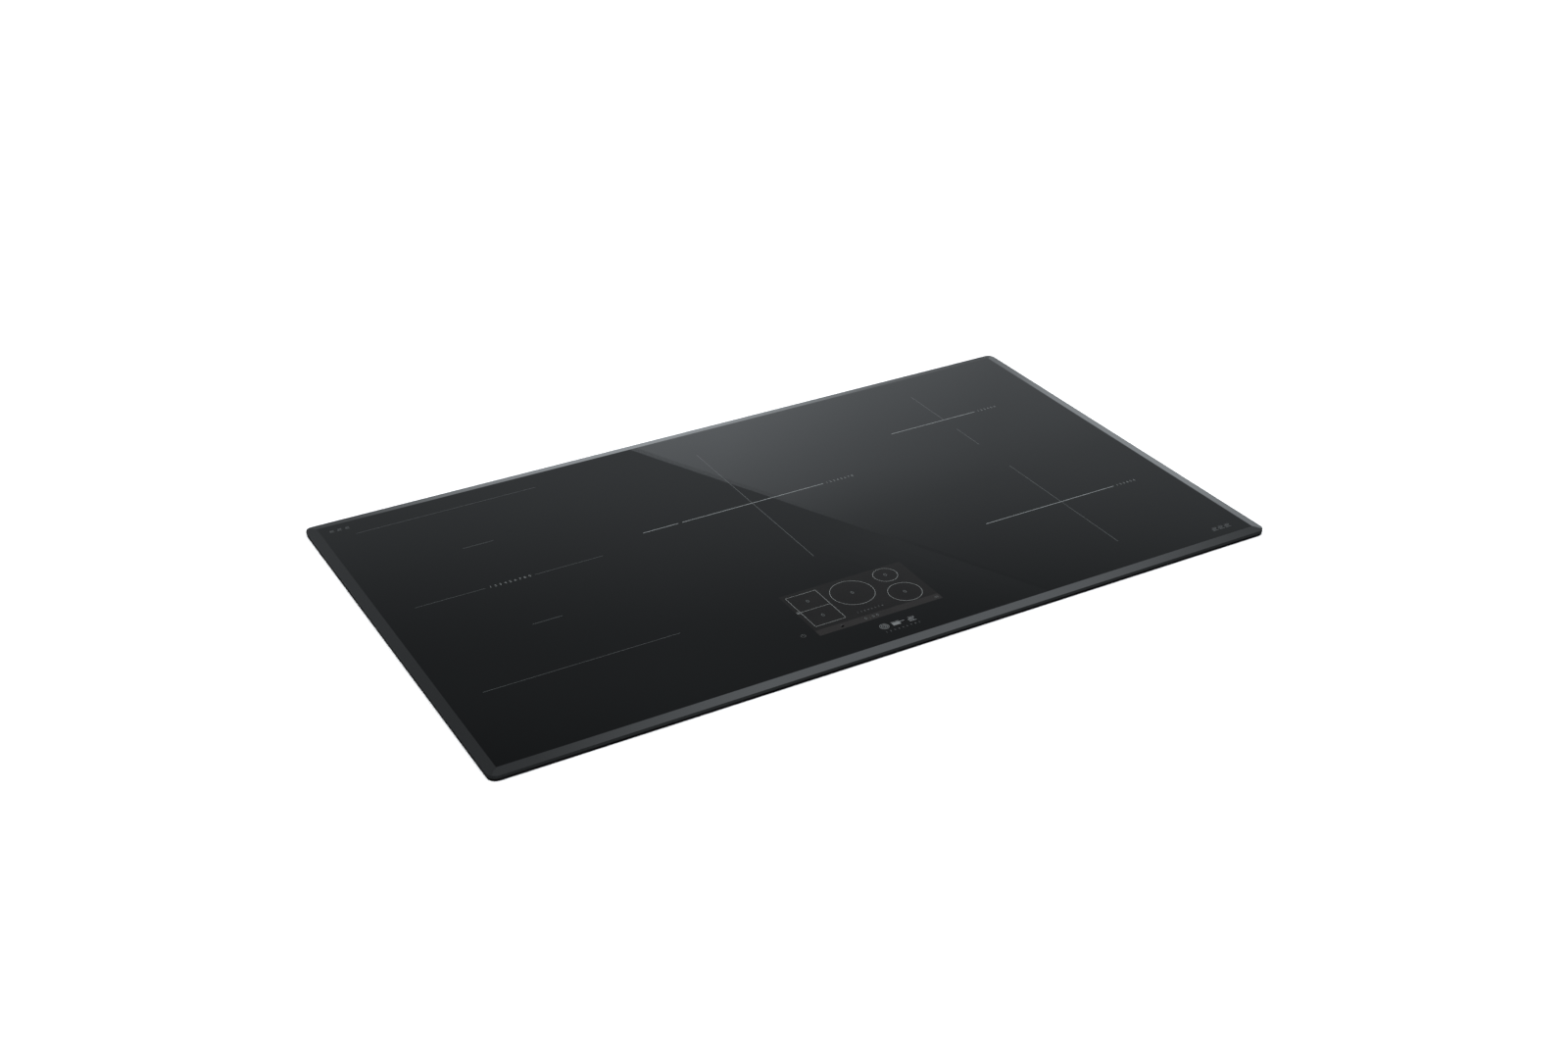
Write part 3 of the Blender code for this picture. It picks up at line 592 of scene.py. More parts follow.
def add_cross(zone, left, right, rear, front, gap, count, inks):
    """A zone's cross: a strong line side to side, a fine one front to back, and pan sizes."""
    centre = middle(zone + "_winding")
    strong, fine, pale = inks
    start = centre.x - left
    shape = bmesh.new()
    if zone == "centre":  # its line has a short first part
        add_line(shape, (start, centre.y), (start + 0.044, centre.y), STRONG)
        start += 0.049
    add_line(shape, (start, centre.y), (centre.x + right, centre.y), STRONG)
    finish_print(zone + "_zone_line", shape, strong)
    shape = bmesh.new()
    add_line(shape, (centre.x, centre.y + rear), (centre.x, centre.y + STRONG), FINE)
    add_line(shape, (centre.x, centre.y - gap), (centre.x, centre.y - front), FINE)
    finish_print(zone + "_zone_cross", shape, fine)
    shape = bmesh.new()
    add_numerals(shape, count, centre.x + right + 0.0055, 0.0049, centre.y, 0.0036)
    finish_print(zone + "_pan_sizes", shape, pale)


def add_hot_symbol(shape, centre, size):
    """Three rising waves, the usual sign for a hot surface, over a short bar."""
    width = size * 0.11
    for i in (-1, 0, 1):
        x = centre[0] + i * size * 0.34
        for k, start in enumerate((90.0, 270.0)):
            y = centre[1] + (k - 0.5) * size * 0.42
            add_ring(shape, (x, y), size * 0.21, width, 10, start, 180.0)
    bar = centre[1] - size * 0.62
    add_line(shape, (centre[0] - size * 0.6, bar), (centre[0] + size * 0.6, bar), width)


def add_small_marks(faint, ink, bright):
    """Hot-surface signs in two corners, the on-off sign by the screen, and signs below it."""
    rear_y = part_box("left_deck")[1].y + 0.013
    front_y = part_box("right_deck")[0].y - 0.024
    shape = bmesh.new()
    for x, y, size in (
        (middle("left_rear_winding").x - 0.131, rear_y, 0.0043),
        (middle("right_front_winding").x + 0.110, front_y, 0.0060),
    ):
        for i in range(3):
            add_hot_symbol(shape, (x + 0.009 * i, y), size)
    finish_print("hot_surface_signs", shape, faint)
    screen_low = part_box("display_module")[0]
    x, y = screen_low.x - 0.0105, screen_low.y + 0.011
    shape = bmesh.new()
    add_ring(shape, (x, y), 0.0026, 0.0004, 24, 120.0, 300.0)
    add_line(shape, (x, y), (x, y + 0.0034), 0.0004)
    finish_print("on_off_sign", shape, ink)
    x, y = middle("display_module").x + 0.006, screen_low.y - 0.0150
    shape = bmesh.new()
    for radius in (0.0048, 0.0032, 0.0016):
        add_ring(shape, (x - 0.0150, y), radius, 0.00055, 64)
    left, right, base, rim = x - 0.0055, x + 0.0035, y - 0.0035, y + 0.0015  # the filled pan
    add_block(shape, (left, base, TOP - INK_DEPTH), (right, rim, TOP + INK_DEPTH))
    add_line(shape, (right + 0.0003, rim - 0.0008), (right + 0.0060, rim - 0.0008), 0.0009)
    add_line(shape, (left - 0.0003, rim + 0.0012), (right + 0.0003, rim + 0.0012), 0.0007)
    add_hot_symbol(shape, (x + 0.0175, y), 0.0070)
    finish_print("use_signs", shape, bright)
    shape = bmesh.new()
    add_numerals(shape, 9, x - 0.0185, 0.0050, y - 0.0105, 0.0024)
    finish_print("level_numerals", shape, ink)


def add_panel(line_ink, level_ink, dim_ink):
    """The touch screen as it shows through the glass, with its zone picture."""
    screen = middle("display_module")
    left, right = screen.x - 0.0755, screen.x + 0.0750
    front, rear = screen.y - 0.0435, screen.y + 0.0430
    strip = front + 0.0105
    low, high = TOP - INK_DEPTH / 2, TOP + INK_DEPTH / 2
    dark = screen_material("screen_dark", (0.0038, 0.0034, 0.0033), (0.0052, 0.0046, 0.0044))
    pale = screen_material("screen_strip", (0.0118, 0.0108, 0.0106), (0.0150, 0.0136, 0.0132))
    shape = bmesh.new()
    add_block(shape, (left, strip, low), (right, rear, high))
    finish_print("screen_area", shape, dark)
    shape = bmesh.new()
    add_block(shape, (left, front, low), (right, strip, high))
    finish_print("screen_key_strip", shape, pale)

    thin = 0.00043
    x0, x1 = left + 0.005, left + 0.0415  # the bridge zone's frame
    y0, y1 = front + 0.0175, rear - 0.0060
    ym = (y0 + y1) / 2
    reach = thin / 2
    shape = bmesh.new()
    for y in (y0, y1):
        add_line(shape, (x0 - reach, y), (x1 + reach, y), thin)
    for x in (x0, x1):
        add_line(shape, (x, y0 - reach), (x, y1 + reach), thin)
    finish_print("screen_bridge_frame", shape, line_ink)
    rings = {  # centre: radius
        (screen.x - 0.0025, screen.y + 0.0128): 0.0242,
        (screen.x + 0.0472, screen.y + 0.0265): 0.0135,
        (screen.x + 0.0471, screen.y - 0.0130): 0.0184,
    }
    shape = bmesh.new()
    for centre, radius in rings.items():
        add_ring(shape, centre, radius, thin)
    finish_print("screen_zone_rings", shape, line_ink)
    shape = bmesh.new()
    add_line(shape, (x0 + 0.0004, ym), (x1 - 0.0004, ym), thin)
    for step in (-1, 1):
        add_ring(shape, (x0 - 0.0025, ym + 0.0009 * step), 0.0013, 0.0003, 20)
    finish_print("screen_bridge_divider", shape, line_ink)

    shape = bmesh.new()
    for centre in (((x0 + x1) / 2, (ym + y1) / 2), ((x0 + x1) / 2, (ym + y0) / 2), *rings):
        add_digits(shape, "0", centre, 0.0052)
    for x, sign in ((-0.0170, "0"), (-0.0125, ":"), (-0.0080, "0"), (-0.0030, "0")):
        add_digits(shape, sign, (screen.x + x, front + 0.0052), 0.0042)
    finish_print("screen_levels", shape, level_ink)

    shape = bmesh.new()
    add_numerals(shape, 8, screen.x - 0.0185, 0.0043, strip + 0.0086, 0.0024)
    x, y = screen.x - 0.046, front + 0.0050  # the lock sign
    add_block(shape, (x - 0.0016, y - 0.0018, low), (x + 0.0016, y + 0.0006, high))
    add_ring(shape, (x, y + 0.0006), 0.0011, 0.0004, 12, 0.0, 180.0)
    x = screen.x + 0.0700  # the menu sign
    for i in (-1, 0, 1):
        add_line(shape, (x - 0.0022, y + 0.0013 * i), (x + 0.0022, y + 0.0013 * i), 0.0004)
    finish_print("screen_signs", shape, dim_ink)


def add_print():
    """All that is printed on the glass or shows through it."""
    strong = ink_material("ink_strong", (0.23, 0.245, 0.25), (0.155, 0.163, 0.167))
    fine = ink_material("ink_fine", (0.092, 0.098, 0.100), (0.062, 0.065, 0.067))
    pale = ink_material("ink_sizes", (0.150, 0.158, 0.160), (0.110, 0.116, 0.118))
    faint = ink_material("ink_bridge", (0.068, 0.073, 0.075), (0.046, 0.049, 0.050))
    bright = ink_material("ink_screen", (0.215, 0.225, 0.225), (0.165, 0.172, 0.172))
    level = ink_material("ink_level", (0.080, 0.085, 0.087), (0.056, 0.060, 0.062))
    dim = ink_material("ink_dim", (0.090, 0.094, 0.095), (0.062, 0.065, 0.066))
    inks = (strong, fine, pale)
    add_bridge_marks(faint, pale)
    reach = winding_radius("centre") + 0.003
    add_cross("centre", reach, reach - 0.045, 0.137, 0.139, STRONG, 8, inks)
    add_cross("right_rear", 0.0765, 0.0455, 0.0745, 0.0765, 0.028, 6, inks)
    add_cross("right_front", 0.104, 0.0750, 0.102, 0.105, STRONG, 6, inks)
    add_small_marks(faint, dim, pale)
    add_panel(bright, level, dim)


# --- Carried-over CAD nodes ---


def metal(name, light, dark, rough_low, rough_high, grain, stretch=(1, 1, 1), metallic=1.0):
    """Bare or coated metal; stretch draws its grain out along an axis."""
    made = Nodes(name).fixed(Metallic=metallic)
    made.colour(made.noise(grain, 4.0, 0.6, stretch), [(0.3, dark), (0.7, light)])
    made.roughness(made.noise(grain * 1.7, 3.0, 0.5, stretch), rough_low, rough_high)
    made.bump(made.noise(grain * 2.0, 2.0, 0.5, stretch), 0.15, 0.0001)
    return made.material


def galvanised():
    """Zinc coat with spangles."""
    made = Nodes("galvanised_steel").fixed(Metallic=1.0)
    made.colour(made.cells(90.0), [(0.1, (0.42, 0.43, 0.44)), (0.9, (0.60, 0.61, 0.62))])
    made.roughness(made.cells(90.0), 0.30, 0.50)
    made.bump(made.noise(400.0), 0.1, 0.0001)
    return made.material


def plastic(name, light, dark, rough, grain=1500.0):
    """Moulded plastic or rubber with a fine eroded grain."""
    made = Nodes(name).fixed(IOR=1.46)
    made.colour(made.noise(60.0, 3.0), [(0.35, dark), (0.65, light)])
    made.roughness(made.noise(200.0), rough - 0.07, rough + 0.07)
    made.bump(made.noise(grain, 2.0), 0.25, 0.0001)
    return made.material


def circuit_board():
    """Green solder mask over tracks."""
    made = Nodes("circuit_board").fixed(IOR=1.5)
    made.colour(made.cells(260.0), [(0.2, (0.010, 0.085, 0.035)), (0.8, (0.018, 0.13, 0.055))])
    made.roughness(made.noise(300.0), 0.30, 0.45)
    made.bump(made.cells(260.0), 0.3, 0.0001)
    return made.material


def copper():
    """Enamelled copper wire, its sheen finely uneven."""
    made = Nodes("litz_copper").fixed(Metallic=0.85)
    made.colour(made.noise(1200.0, 4.0), [(0.3, (0.36, 0.13, 0.05)), (0.7, (0.66, 0.30, 0.14))])
    made.roughness(made.noise(900.0), 0.32, 0.50)
    made.bump(made.noise(1500.0), 0.5, 0.0002)
    return made.material


def coat_nodes():
    """Give every CAD node that still shows its procedural material."""
    recipes = {
        # seal_foam: colour darker than real black foam, painted shade standing in for the contact
        # shadow under the glass's edge
        "seal_foam": (plastic, (0.005,) * 3, (0.003,) * 3, 0.92, 700.0),
        "dark_plastic": (plastic, (0.034, 0.034, 0.036), (0.022, 0.022, 0.024), 0.55),
        "light_plastic": (plastic, (0.74, 0.73, 0.68), (0.66, 0.65, 0.60), 0.5),
        "silicone": (plastic, (0.52, 0.12, 0.06), (0.42, 0.09, 0.05), 0.6),
        "cable_sleeve": (plastic, (0.17, 0.17, 0.18), (0.12, 0.12, 0.13), 0.6),
        "black_steel": (metal, (0.028,) * 3, (0.020,) * 3, 0.4, 0.55, 500.0, (1, 1, 1), 0.2),
        "aluminium": (metal, (0.76, 0.77, 0.78), (0.66, 0.67, 0.68), 0.28, 0.42, 300.0, (1, 0.05, 1)),
        "spring_steel": (metal, (0.56, 0.56, 0.58), (0.44, 0.44, 0.46), 0.22, 0.34, 600.0),
    }
    coats = {name: make(name, *values) for name, (make, *values) in recipes.items()}
    coats["galvanised_steel"] = galvanised()
    coats["litz_copper"] = copper()
    coats["circuit_board"] = circuit_board()
    coats["screen"] = screen_material(
        "screen_module", (0.020, 0.019, 0.018), (0.026, 0.025, 0.023))
    # The seal's gloss is taken away too, so its face keeps the painted shade
    dull(coats["seal_foam"])
    slots = {row["node"]: row["material_slot"] for row in frame["record"]["subparts"]}
    for node, obj in frame["nodes"].items():
        if slots[node] in coats:
            obj.data.materials.clear()
            obj.data.materials.append(coats[slots[node]])


# --- Shape helpers for the inside ---


def smooth_route(corners, steps):
    """A smooth curve through corners."""
    points = []
    padded = [corners[0], *corners, corners[-1]]
    for i in range(1, len(padded) - 2):
        a, b, c, d = (Vector(padded[i + k]) for k in (-1, 0, 1, 2))
        for k in range(steps):
            t = k / steps
            points.append(((2 * b) + (c - a) * t + (2 * a - 5 * b + 4 * c - d) * t * t
                           + (3 * b - a - 3 * c + d) * t * t * t) / 2)
    points.append(Vector(padded[-2]))
    return points


def add_tube(shape, points, half_width, half_height, sides=6, twist=0.010):
    """Sweep an oval along points, with a map that runs once along each twist's length."""
    layer = shape.loops.layers.uv.verify()
    rows, lengths, travelled = [], [], 0.0
    for i, point in enumerate(points):
        ahead = Vector(points[min(i + 1, len(points) - 1)])
        behind = Vector(points[max(i - 1, 0)])
        run = (ahead - behind).normalized()
        other = Vector((0.0, 0.0, 1.0)) if abs(run.z) < 0.9 else Vector((1.0, 0.0, 0.0))
        side = run.cross(other).normalized()
        rise = side.cross(run)
        ring = []
        for k in range(sides):
            angle = math.tau * k / sides
            across, up = half_width * math.cos(angle), half_height * math.sin(angle)
            ring.append(shape.verts.new(Vector(point) + side * across + rise * up))
        rows.append(ring)
        if i:
            travelled += (Vector(point) - Vector(points[i - 1])).length
        lengths.append(travelled / twist)
    for i in range(len(rows) - 1):
        for k in range(sides):
            n = (k + 1) % sides
            face = shape.faces.new([rows[i][k], rows[i][n], rows[i + 1][n], rows[i + 1][k]])
            face.smooth = True
            places = ((i, k), (i, k + 1), (i + 1, k + 1), (i + 1, k))
            for loop, (row, turn) in zip(face.loops, places):
                loop[layer].uv = (lengths[row], turn / sides)
    shape.faces.new(list(reversed(rows[0])))
    shape.faces.new(rows[-1])


def add_part(shape, index, make, *values):
    """Run a shape helper and give the faces it adds a material's index."""
    known = set(shape.faces)
    make(shape, *values)
    for face in shape.faces:
        if face not in known:
            face.material_index = index


def wound(centre, reach, level, turns, steps, spread=0.0, rise=0.0):
    """Points of a spiral or helix that spreads and rises by so much in each turn."""
    return [
        (*polar(centre, reach + spread * i / steps, math.tau * i / steps), level + rise * i / steps)
        for i in range(int(turns * steps) + 1)
    ]


def add_rod(shape, centre, radius, low, high, segments=24):
    """An upright cylinder."""
    place = Matrix.Translation((centre[0], centre[1], (low + high) / 2))
    bmesh.ops.create_cone(
        shape, cap_ends=True, segments=segments, radius1=radius, radius2=radius,
        depth=high - low, matrix=place,
    )


def add_screw(shape, centre, radius, out=(0.0, 0.0, 1.0)):
    """A pan screw head with a hexagon socket, its underside at centre, facing out."""
    turn = Vector(out).to_track_quat("Z", "Y").to_matrix().to_4x4()
    place = Matrix.Translation(centre) @ turn
    height, socket, steps = radius * 0.7, 0.50, 12
    levels = [
        (1.0, 0.0), (1.0, height * 0.55), (0.80, height), (socket, height), (socket, height * 0.35),
    ]
    rows = []
    for share, level in levels:
        row = []
        for k in range(steps):
            flat = 0.9 if share == socket and k % 2 else 1.0
            spot = (*polar((0.0, 0.0), radius * share * flat, math.tau * k / steps), level)
            row.append(shape.verts.new(place @ Vector(spot)))
        rows.append(row)
    for one, two in zip(rows, rows[1:]):
        for k in range(steps):
            n = (k + 1) % steps
            shape.faces.new([one[k], one[n], two[n], two[k]])
    shape.faces.new(rows[-1])
    shape.faces.new(list(reversed(rows[0])))


def soften(piece, width, angle=30.0):
    """Break a piece's sharp edges."""
    edge = add_bevel(piece, "soft_edges", width, 2, angle)
    edge.use_clamp_overlap = True
    return piece


# --- Coil units ---

LITZ_HALF = 0.00172  # half the litz bundle's width; turns lie side by side
WINDING_HOLE = 0.022  # radius of a winding's hole
LEAD_REACH = 0.045  # where a coil's leads pass through its deck, from the coil's centre
LEAD_RADIUS = 0.0019


def litz():
    """Enamelled copper strands, twisted round the bundle."""
    made = Nodes("litz_strands").fixed(Metallic=0.85)
    strands = made.add("ShaderNodeTexWave", bands_direction="DIAGONAL")
    strands.inputs["Scale"].default_value = 1.6
    strands.inputs["Distortion"].default_value = 0.3
    route = made.add("ShaderNodeTexCoord").outputs["UV"]
    made.link(route, strands.inputs["Vector"])
    made.colour(strands.outputs["Fac"], [(0.1, (0.30, 0.10, 0.04)), (0.7, (0.68, 0.31, 0.14))])
    made.roughness(made.noise(900.0), 0.28, 0.45)
    made.bump(strands.outputs["Fac"], 0.6, 0.0003)
    return made.material


def add_winding(zone, strands):
    """The zone's flat spiral of litz wire."""
    low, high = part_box(zone + "_winding")
    x, y, level = middle(zone + "_winding")
    inner = WINDING_HOLE + LITZ_HALF
    outer = winding_radius(zone) - LITZ_HALF
    pitch = LITZ_HALF * 2 + 0.0001
    points = wound((x, y), inner, level, (outer - inner) / pitch, 48, spread=pitch)
    shape = bmesh.new()
    add_tube(shape, points, LITZ_HALF, (high.z - low.z) / 2)
    winding = finish_mesh(zone + "_litz_spiral", shape, [strands], zone + "_coil")
    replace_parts(winding, zone + "_winding")


def add_ferrites(zone, ferrite):
    """Eight ferrite bars under the carrier's arms."""
    low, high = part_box(zone + "_coil_carrier")
    x, y, _ = middle(zone + "_coil_carrier")
    start, end, half = 0.031, (high.x - low.x) / 2 - 0.010, 0.005
    bars = 8
    shape = bmesh.new()
    for i in range(bars):
        known = set(shape.verts)
        add_block(shape, (start, -half, low.z - 0.0034), (end, half, low.z - 0.0002))
        bar = [vert for vert in shape.verts if vert not in known]
        turn = Matrix.Rotation(math.tau * i / bars, 3, "Z")
        bmesh.ops.rotate(shape, verts=bar, cent=(0, 0, 0), matrix=turn)
        bmesh.ops.translate(shape, verts=bar, vec=(x, y, 0.0))
    name = zone + "_ferrite_bars"
    soften(finish_mesh(name, shape, [ferrite], zone + "_coil"), 0.0005)


def add_mica(zone, mica):
    """Thin insulating sheet between the carrier and the winding."""
    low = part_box(zone + "_winding")[0].z
    x, y, _ = middle(zone + "_winding")
    radii = (0.0125, winding_radius(zone) + 0.001)
    shape = bmesh.new()
    add_band(shape, (x, y), radii, (low - 0.00024, low - 0.00006), 72)
    finish_mesh(zone + "_mica_sheet", shape, [mica], zone + "_coil")


def add_spring(zone, steel):
    """The coil's compression spring, its end turns laid flat."""
    low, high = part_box(zone + "_coil_spring")
    x, y, _ = middle(zone + "_coil_spring")
    wire = 0.0008
    reach = 0.019
    turns, steps = 4, 32
    flat = 0.6  # turns laid flat at each end
    points = []
    for i in range(turns * steps + 1):
        share = min(max((i / steps - flat) / (turns - 2 * flat), 0.0), 1.0)
        level = low.z + wire + (high.z - low.z - 2 * wire) * share
        points.append((*polar((x, y), reach, math.tau * i / steps), level))
    shape = bmesh.new()
    add_tube(shape, points, wire, wire, 8)
    spring = finish_mesh(zone + "_helix_spring", shape, [steel])
    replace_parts(spring, zone + "_coil_spring")
    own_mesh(spring)


def add_leads(zone, sleeve):
    """Two sleeved tails from the winding, through the deck, to the board below."""
    x, y, _ = middle(zone + "_winding")
    coil_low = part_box(zone + "_winding")[0].z
    deck_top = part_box(DECK_OF[zone])[1].z
    board = DECK_OF[zone].replace("deck", "inverter_board")
    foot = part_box(board)[0].z + 0.0125  # just above the laminate
    across, along = polar((0.0, 0.0), LEAD_REACH, math.radians(22.5))
    route = [  # (outwards from the coil's centre, rearwards, height)
        (across, along, coil_low), (across, along, deck_top + 0.0145),
        (across + 0.001, along - 0.003, deck_top + 0.0075),
        (LEAD_REACH - 0.001, 0.008, deck_top + 0.0040),
        (LEAD_REACH, 0.0015, deck_top + 0.0010), (LEAD_REACH, 0.0, deck_top - 0.006),
        (LEAD_REACH, 0.0, foot + 0.020), (LEAD_REACH, 0.0, foot),
    ]
    for name, side in (("inner", -1), ("outer", 1)):
        places = [(x + side * out, y + back, level) for out, back, level in route]
        shape = bmesh.new()
        add_tube(shape, smooth_route(places, 6), LEAD_RADIUS, LEAD_RADIUS, 8)
        lead = new_object(f"{zone}_{name}_lead", shape, [sleeve])
        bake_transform(lead)


def add_coils():
    """Windings, mica sheets, ferrites, springs and leads of the five zones."""
    strands = litz()
    ferrite = plastic("ferrite", (0.050, 0.047, 0.045), (0.030, 0.028, 0.027), 0.7, 900.0)
    steel = metal("spring_wire", (0.56, 0.56, 0.58), (0.44, 0.44, 0.46), 0.22, 0.34, 600.0)
    sleeve = plastic("lead_sleeve", (0.56, 0.50, 0.40), (0.46, 0.41, 0.33), 0.6, 1100.0)
    mica = plastic("mica", (0.60, 0.53, 0.42), (0.48, 0.42, 0.33), 0.45, 400.0)
    for zone in ZONE_NAMES:
        add_winding(zone, strands)
        add_mica(zone, mica)
        add_ferrites(zone, ferrite)
        add_spring(zone, steel)
        add_leads(zone, sleeve)


# --- Circuit boards ---

LAMINATE, FILM, BLACK, CAN, METAL, WIRE, PALE = range(7)
BOARD_THICKNESS = 0.0016
STANDOFF = 0.0107  # height of an inverter's or the filter's laminate over the node's lowest point


def board_coats():
    """Materials of a populated board, in the order of their indexes."""
    return [
        circuit_board(),
        plastic("film_capacitor", (0.62, 0.44, 0.09), (0.52, 0.36, 0.07), 0.42, 900.0),
        plastic("black_package", (0.020, 0.020, 0.022), (0.012, 0.012, 0.013), 0.5, 2500.0),
        plastic("capacitor_sleeve", (0.030, 0.050, 0.110), (0.020, 0.036, 0.085), 0.35, 700.0),
        metal("tinned_metal", (0.66, 0.66, 0.64), (0.52, 0.52, 0.50), 0.25, 0.42, 500.0),
        copper(),
        plastic("pale_housing", (0.70, 0.69, 0.64), (0.60, 0.59, 0.55), 0.5),
    ]


def add_choke(shape, centre, radius, low, high):
    """A ferrite drum with one layer of copper wire wound round it."""
    wire, flange = 0.0009, 0.002
    rise = 2.1 * wire
    add_part(shape, BLACK, add_rod, centre, radius - 2.2 * wire, low, high)
    add_part(shape, BLACK, add_rod, centre, radius, low, low + flange)
    add_part(shape, BLACK, add_rod, centre, radius, high - flange, high)
    start, end = low + flange + wire, high - flange - wire
    points = wound(centre, radius - 1.2 * wire, start, (end - start) / rise, 20, rise=rise)
    add_part(shape, WIRE, add_tube, points, wire, wire, 5)


def add_package(shape, index, centre, half_x, half_y, low, high):
    """A block of one material about (x, y), between two levels."""
    x, y = centre
    add_part(shape, index, add_block, (x - half_x, y - half_y, low), (x + half_x, y + half_y, high))


def add_can(shape, centre, radius, low, high):
    """An electrolytic capacitor: sleeve, rolled rim and scored metal top."""
    add_part(shape, CAN, add_rod, centre, radius, low, high - 0.0012, 20)
    add_part(shape, METAL, add_rod, centre, radius * 0.86, high - 0.0013, high - 0.0004, 20)
    add_part(shape, CAN, add_rod, centre, radius * 0.18, high - 0.0005, high, 8)


def add_laminate(shape, node, board_low):
    """The bare board with its standoffs and corner screws; gives back its top."""
    low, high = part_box(node)
    top = board_low + BOARD_THICKNESS
    add_part(shape, LAMINATE, add_block, (low.x, low.y, board_low), (high.x, high.y, top))
    inset = 0.007
    for x in (low.x + inset, high.x - inset):
        for y in (low.y + inset, high.y - inset):
            add_part(shape, METAL, add_rod, (x, y), 0.003, low.z, board_low + 0.0001, 6)
            add_part(shape, METAL, add_screw, (x, y, top), 0.0030)
    return top


def add_chip(shape, centre, half_x, half_y, low, high, pins):
    """A flat package with a row of tinned legs on its two long sides."""
    add_package(shape, BLACK, centre, half_x, half_y, low + 0.0003, high)
    for i in range(pins):
        x = centre[0] + half_x * (2 * (i + 0.5) / pins - 1)
        for side in (-1, 1):
            y = centre[1] + side * (half_y + 0.0006)
            add_package(shape, METAL, (x, y), 0.0003, 0.0008, low, low + 0.0007)


def finish_board(node, shape, coats, width=0.0003):
    """Turn a populated board into the piece that stands in for its node."""
    board = finish_mesh(node + "_populated", shape, coats)
    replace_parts(soften(board, width, 40.0), node)


def add_inverter(node, coats):
    """Power board: film capacitors, chokes, relays, cans, chips, and transistors by the sink."""
    low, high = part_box(node)
    shape = bmesh.new()
    top = add_laminate(shape, node, low.z + STANDOFF)
    sink_low, sink_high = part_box(node.replace("inverter_board", "heat_sink"))
    rows, margin = 4, 0.015
    pitch = (high.y - low.y - 2 * margin) / rows
    for i in range(rows):
        y = low.y + margin + (i + 0.5) * pitch
        for k in (-1, 1):
            spot = (low.x + 0.026, y + 0.0106 * k)
            add_package(shape, FILM, spot, 0.0138, 0.0102, top, top + 0.0315)
        if i % 2:
            add_package(shape, BLACK, (high.x - 0.026, y), 0.0138, 0.0128, top, top + 0.0195)
        else:
            add_choke(shape, (high.x - 0.028, y), 0.0148, top, top + 0.0250)
        for x in (sink_low.x - 0.0040, sink_high.x + 0.0040):
            case = y - 0.0195  # a transistor's middle
            add_package(shape, BLACK, (x, case), 0.0024, 0.0080, top + 0.004, top + 0.0245)
            for leg in (-0.0054, 0.0, 0.0054):
                add_package(shape, METAL, (x, case + leg), 0.0003, 0.0006, top, top + 0.0042)
        if i < rows - 1:
            gap_y = y + pitch / 2
            for k in (-1, 0, 1):
                add_can(shape, (high.x - 0.028 + 0.0105 * k, gap_y), 0.0045, top, top + 0.0125)
            add_chip(shape, (low.x + 0.026, gap_y), 0.0065, 0.0036, top, top + 0.0022, 8)
    finish_board(node, shape, coats)


def add_filter(coats):
    """Mains filter: a wound choke, three film capacitors and the fuse holder."""
    x, y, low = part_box("filter_board")[0]
    shape = bmesh.new()
    top = add_laminate(shape, "filter_board", low + STANDOFF)
    add_choke(shape, (x + 0.055, y + 0.040), 0.0198, top, top + 0.0290)
    for reach in (0.095, 0.119, 0.143):
        add_package(shape, FILM, (x + reach, y + 0.036), 0.0088, 0.0158, top, top + 0.0270)
    add_package(shape, PALE, (x + 0.016, y + 0.070), 0.0088, 0.0078, top, top + 0.0112)
    for k in range(3):
        add_can(shape, (x + 0.016, y + 0.022 + 0.0125 * k), 0.0045, top, top + 0.0125)
    finish_board("filter_board", shape, coats)


def add_control(coats):
    """Control board: processor, touch chip, connector and socket."""
    x, y, _ = middle("display_module")
    shape = bmesh.new()
    top = add_laminate(shape, "control_board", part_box("control_board")[0].z + 0.0022)
    add_chip(shape, (x - 0.040, y), 0.0100, 0.0088, top, top + 0.0024, 18)
    add_chip(shape, (x + 0.005, y + 0.010), 0.0118, 0.0066, top, top + 0.0020, 14)
    add_package(shape, PALE, (x + 0.045, y - 0.012), 0.0058, 0.0138, top, top + 0.0053)
    add_package(shape, PALE, (x, y - 0.026), 0.0198, 0.0038, top, top + 0.0053)
    finish_board("control_board", shape, coats, 0.0002)


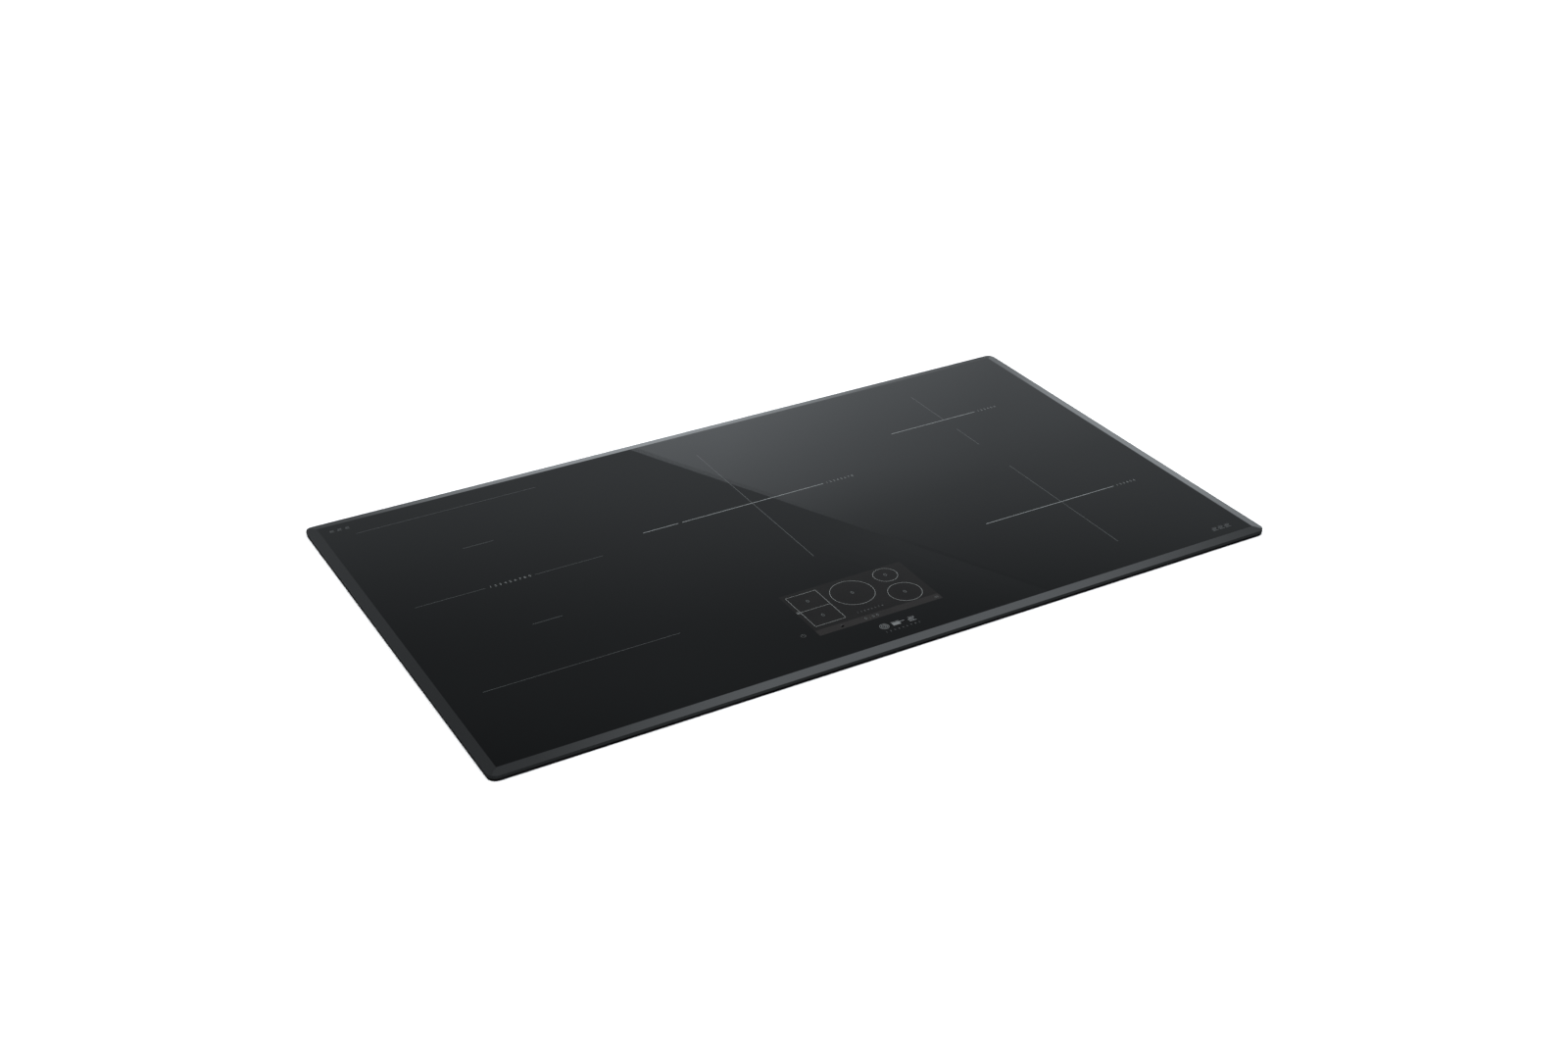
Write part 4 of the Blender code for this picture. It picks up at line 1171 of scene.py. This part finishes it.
def add_boards():
    """All five boards."""
    coats = board_coats()
    for place in ("left", "centre", "right"):
        add_inverter(place + "_inverter_board", coats)
    add_filter(coats)
    add_control(coats)


# --- Fasteners and threads ---

THREAD_PITCH = 0.0008  # the clamp screws'


def add_fasteners():
    """Cover and motor screws, rivets on the clamp brackets, and the clamp screws' threads."""
    steel = metal("zinc_screws", (0.62, 0.62, 0.60), (0.48, 0.48, 0.46), 0.24, 0.38, 700.0)
    low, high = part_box("junction_cover")
    inset = 0.006
    shape = bmesh.new()
    for x in (low.x + inset, high.x - inset):
        for z in (low.z + inset, high.z - inset):
            add_screw(shape, (x, high.y, z), 0.0028, (0, 1, 0))
    finish_mesh("junction_cover_screws", shape, [steel])
    for side in ("left", "right"):
        x, y, _ = middle(side + "_impeller")
        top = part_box(side + "_blower_lid")[1].z
        shape = bmesh.new()
        for i in range(3):
            spot = polar((x, y), 0.019, math.radians(70 + 120 * i))
            add_screw(shape, (*spot, top), 0.0022)
        finish_mesh(side + "_motor_screws", shape, [steel])
    for name in ("left_front", "left_rear", "right_front", "right_rear"):
        side = 1 if name.startswith("right") else -1
        low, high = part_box(name + "_clamp_bracket")
        wall = (low.x if side > 0 else high.x) + side * 0.0020
        shape = bmesh.new()
        for y in (low.y + 0.0022, high.y - 0.0022):
            for z in (low.z + 0.009, high.z - 0.009):
                add_screw(shape, (wall, y, z), 0.0014, (side, 0, 0))
        finish_mesh(name + "_bracket_rivets", shape, [steel])
        low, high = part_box(name + "_clamp_screw")
        x, y, _ = middle(name + "_clamp_screw")
        start, end = low.z + 0.0095, high.z - 0.0008
        turns = (end - start) / THREAD_PITCH
        points = wound((x, y), 0.00250, start, turns, 12, rise=THREAD_PITCH)
        shape = bmesh.new()
        add_tube(shape, points, 0.00020, 0.00028, 4)
        finish_mesh(name + "_screw_thread", shape, [steel], name + "_screw")


# --- Scene ---

add_camera()
add_world()
add_lamps()
add_cards()
add_floor()
add_glass()
add_print()
coat_nodes()
add_coils()
add_boards()
add_fasteners()

scene = bpy.context.scene
scene.view_settings.view_transform = "Standard"
scene.view_settings.look = "None"
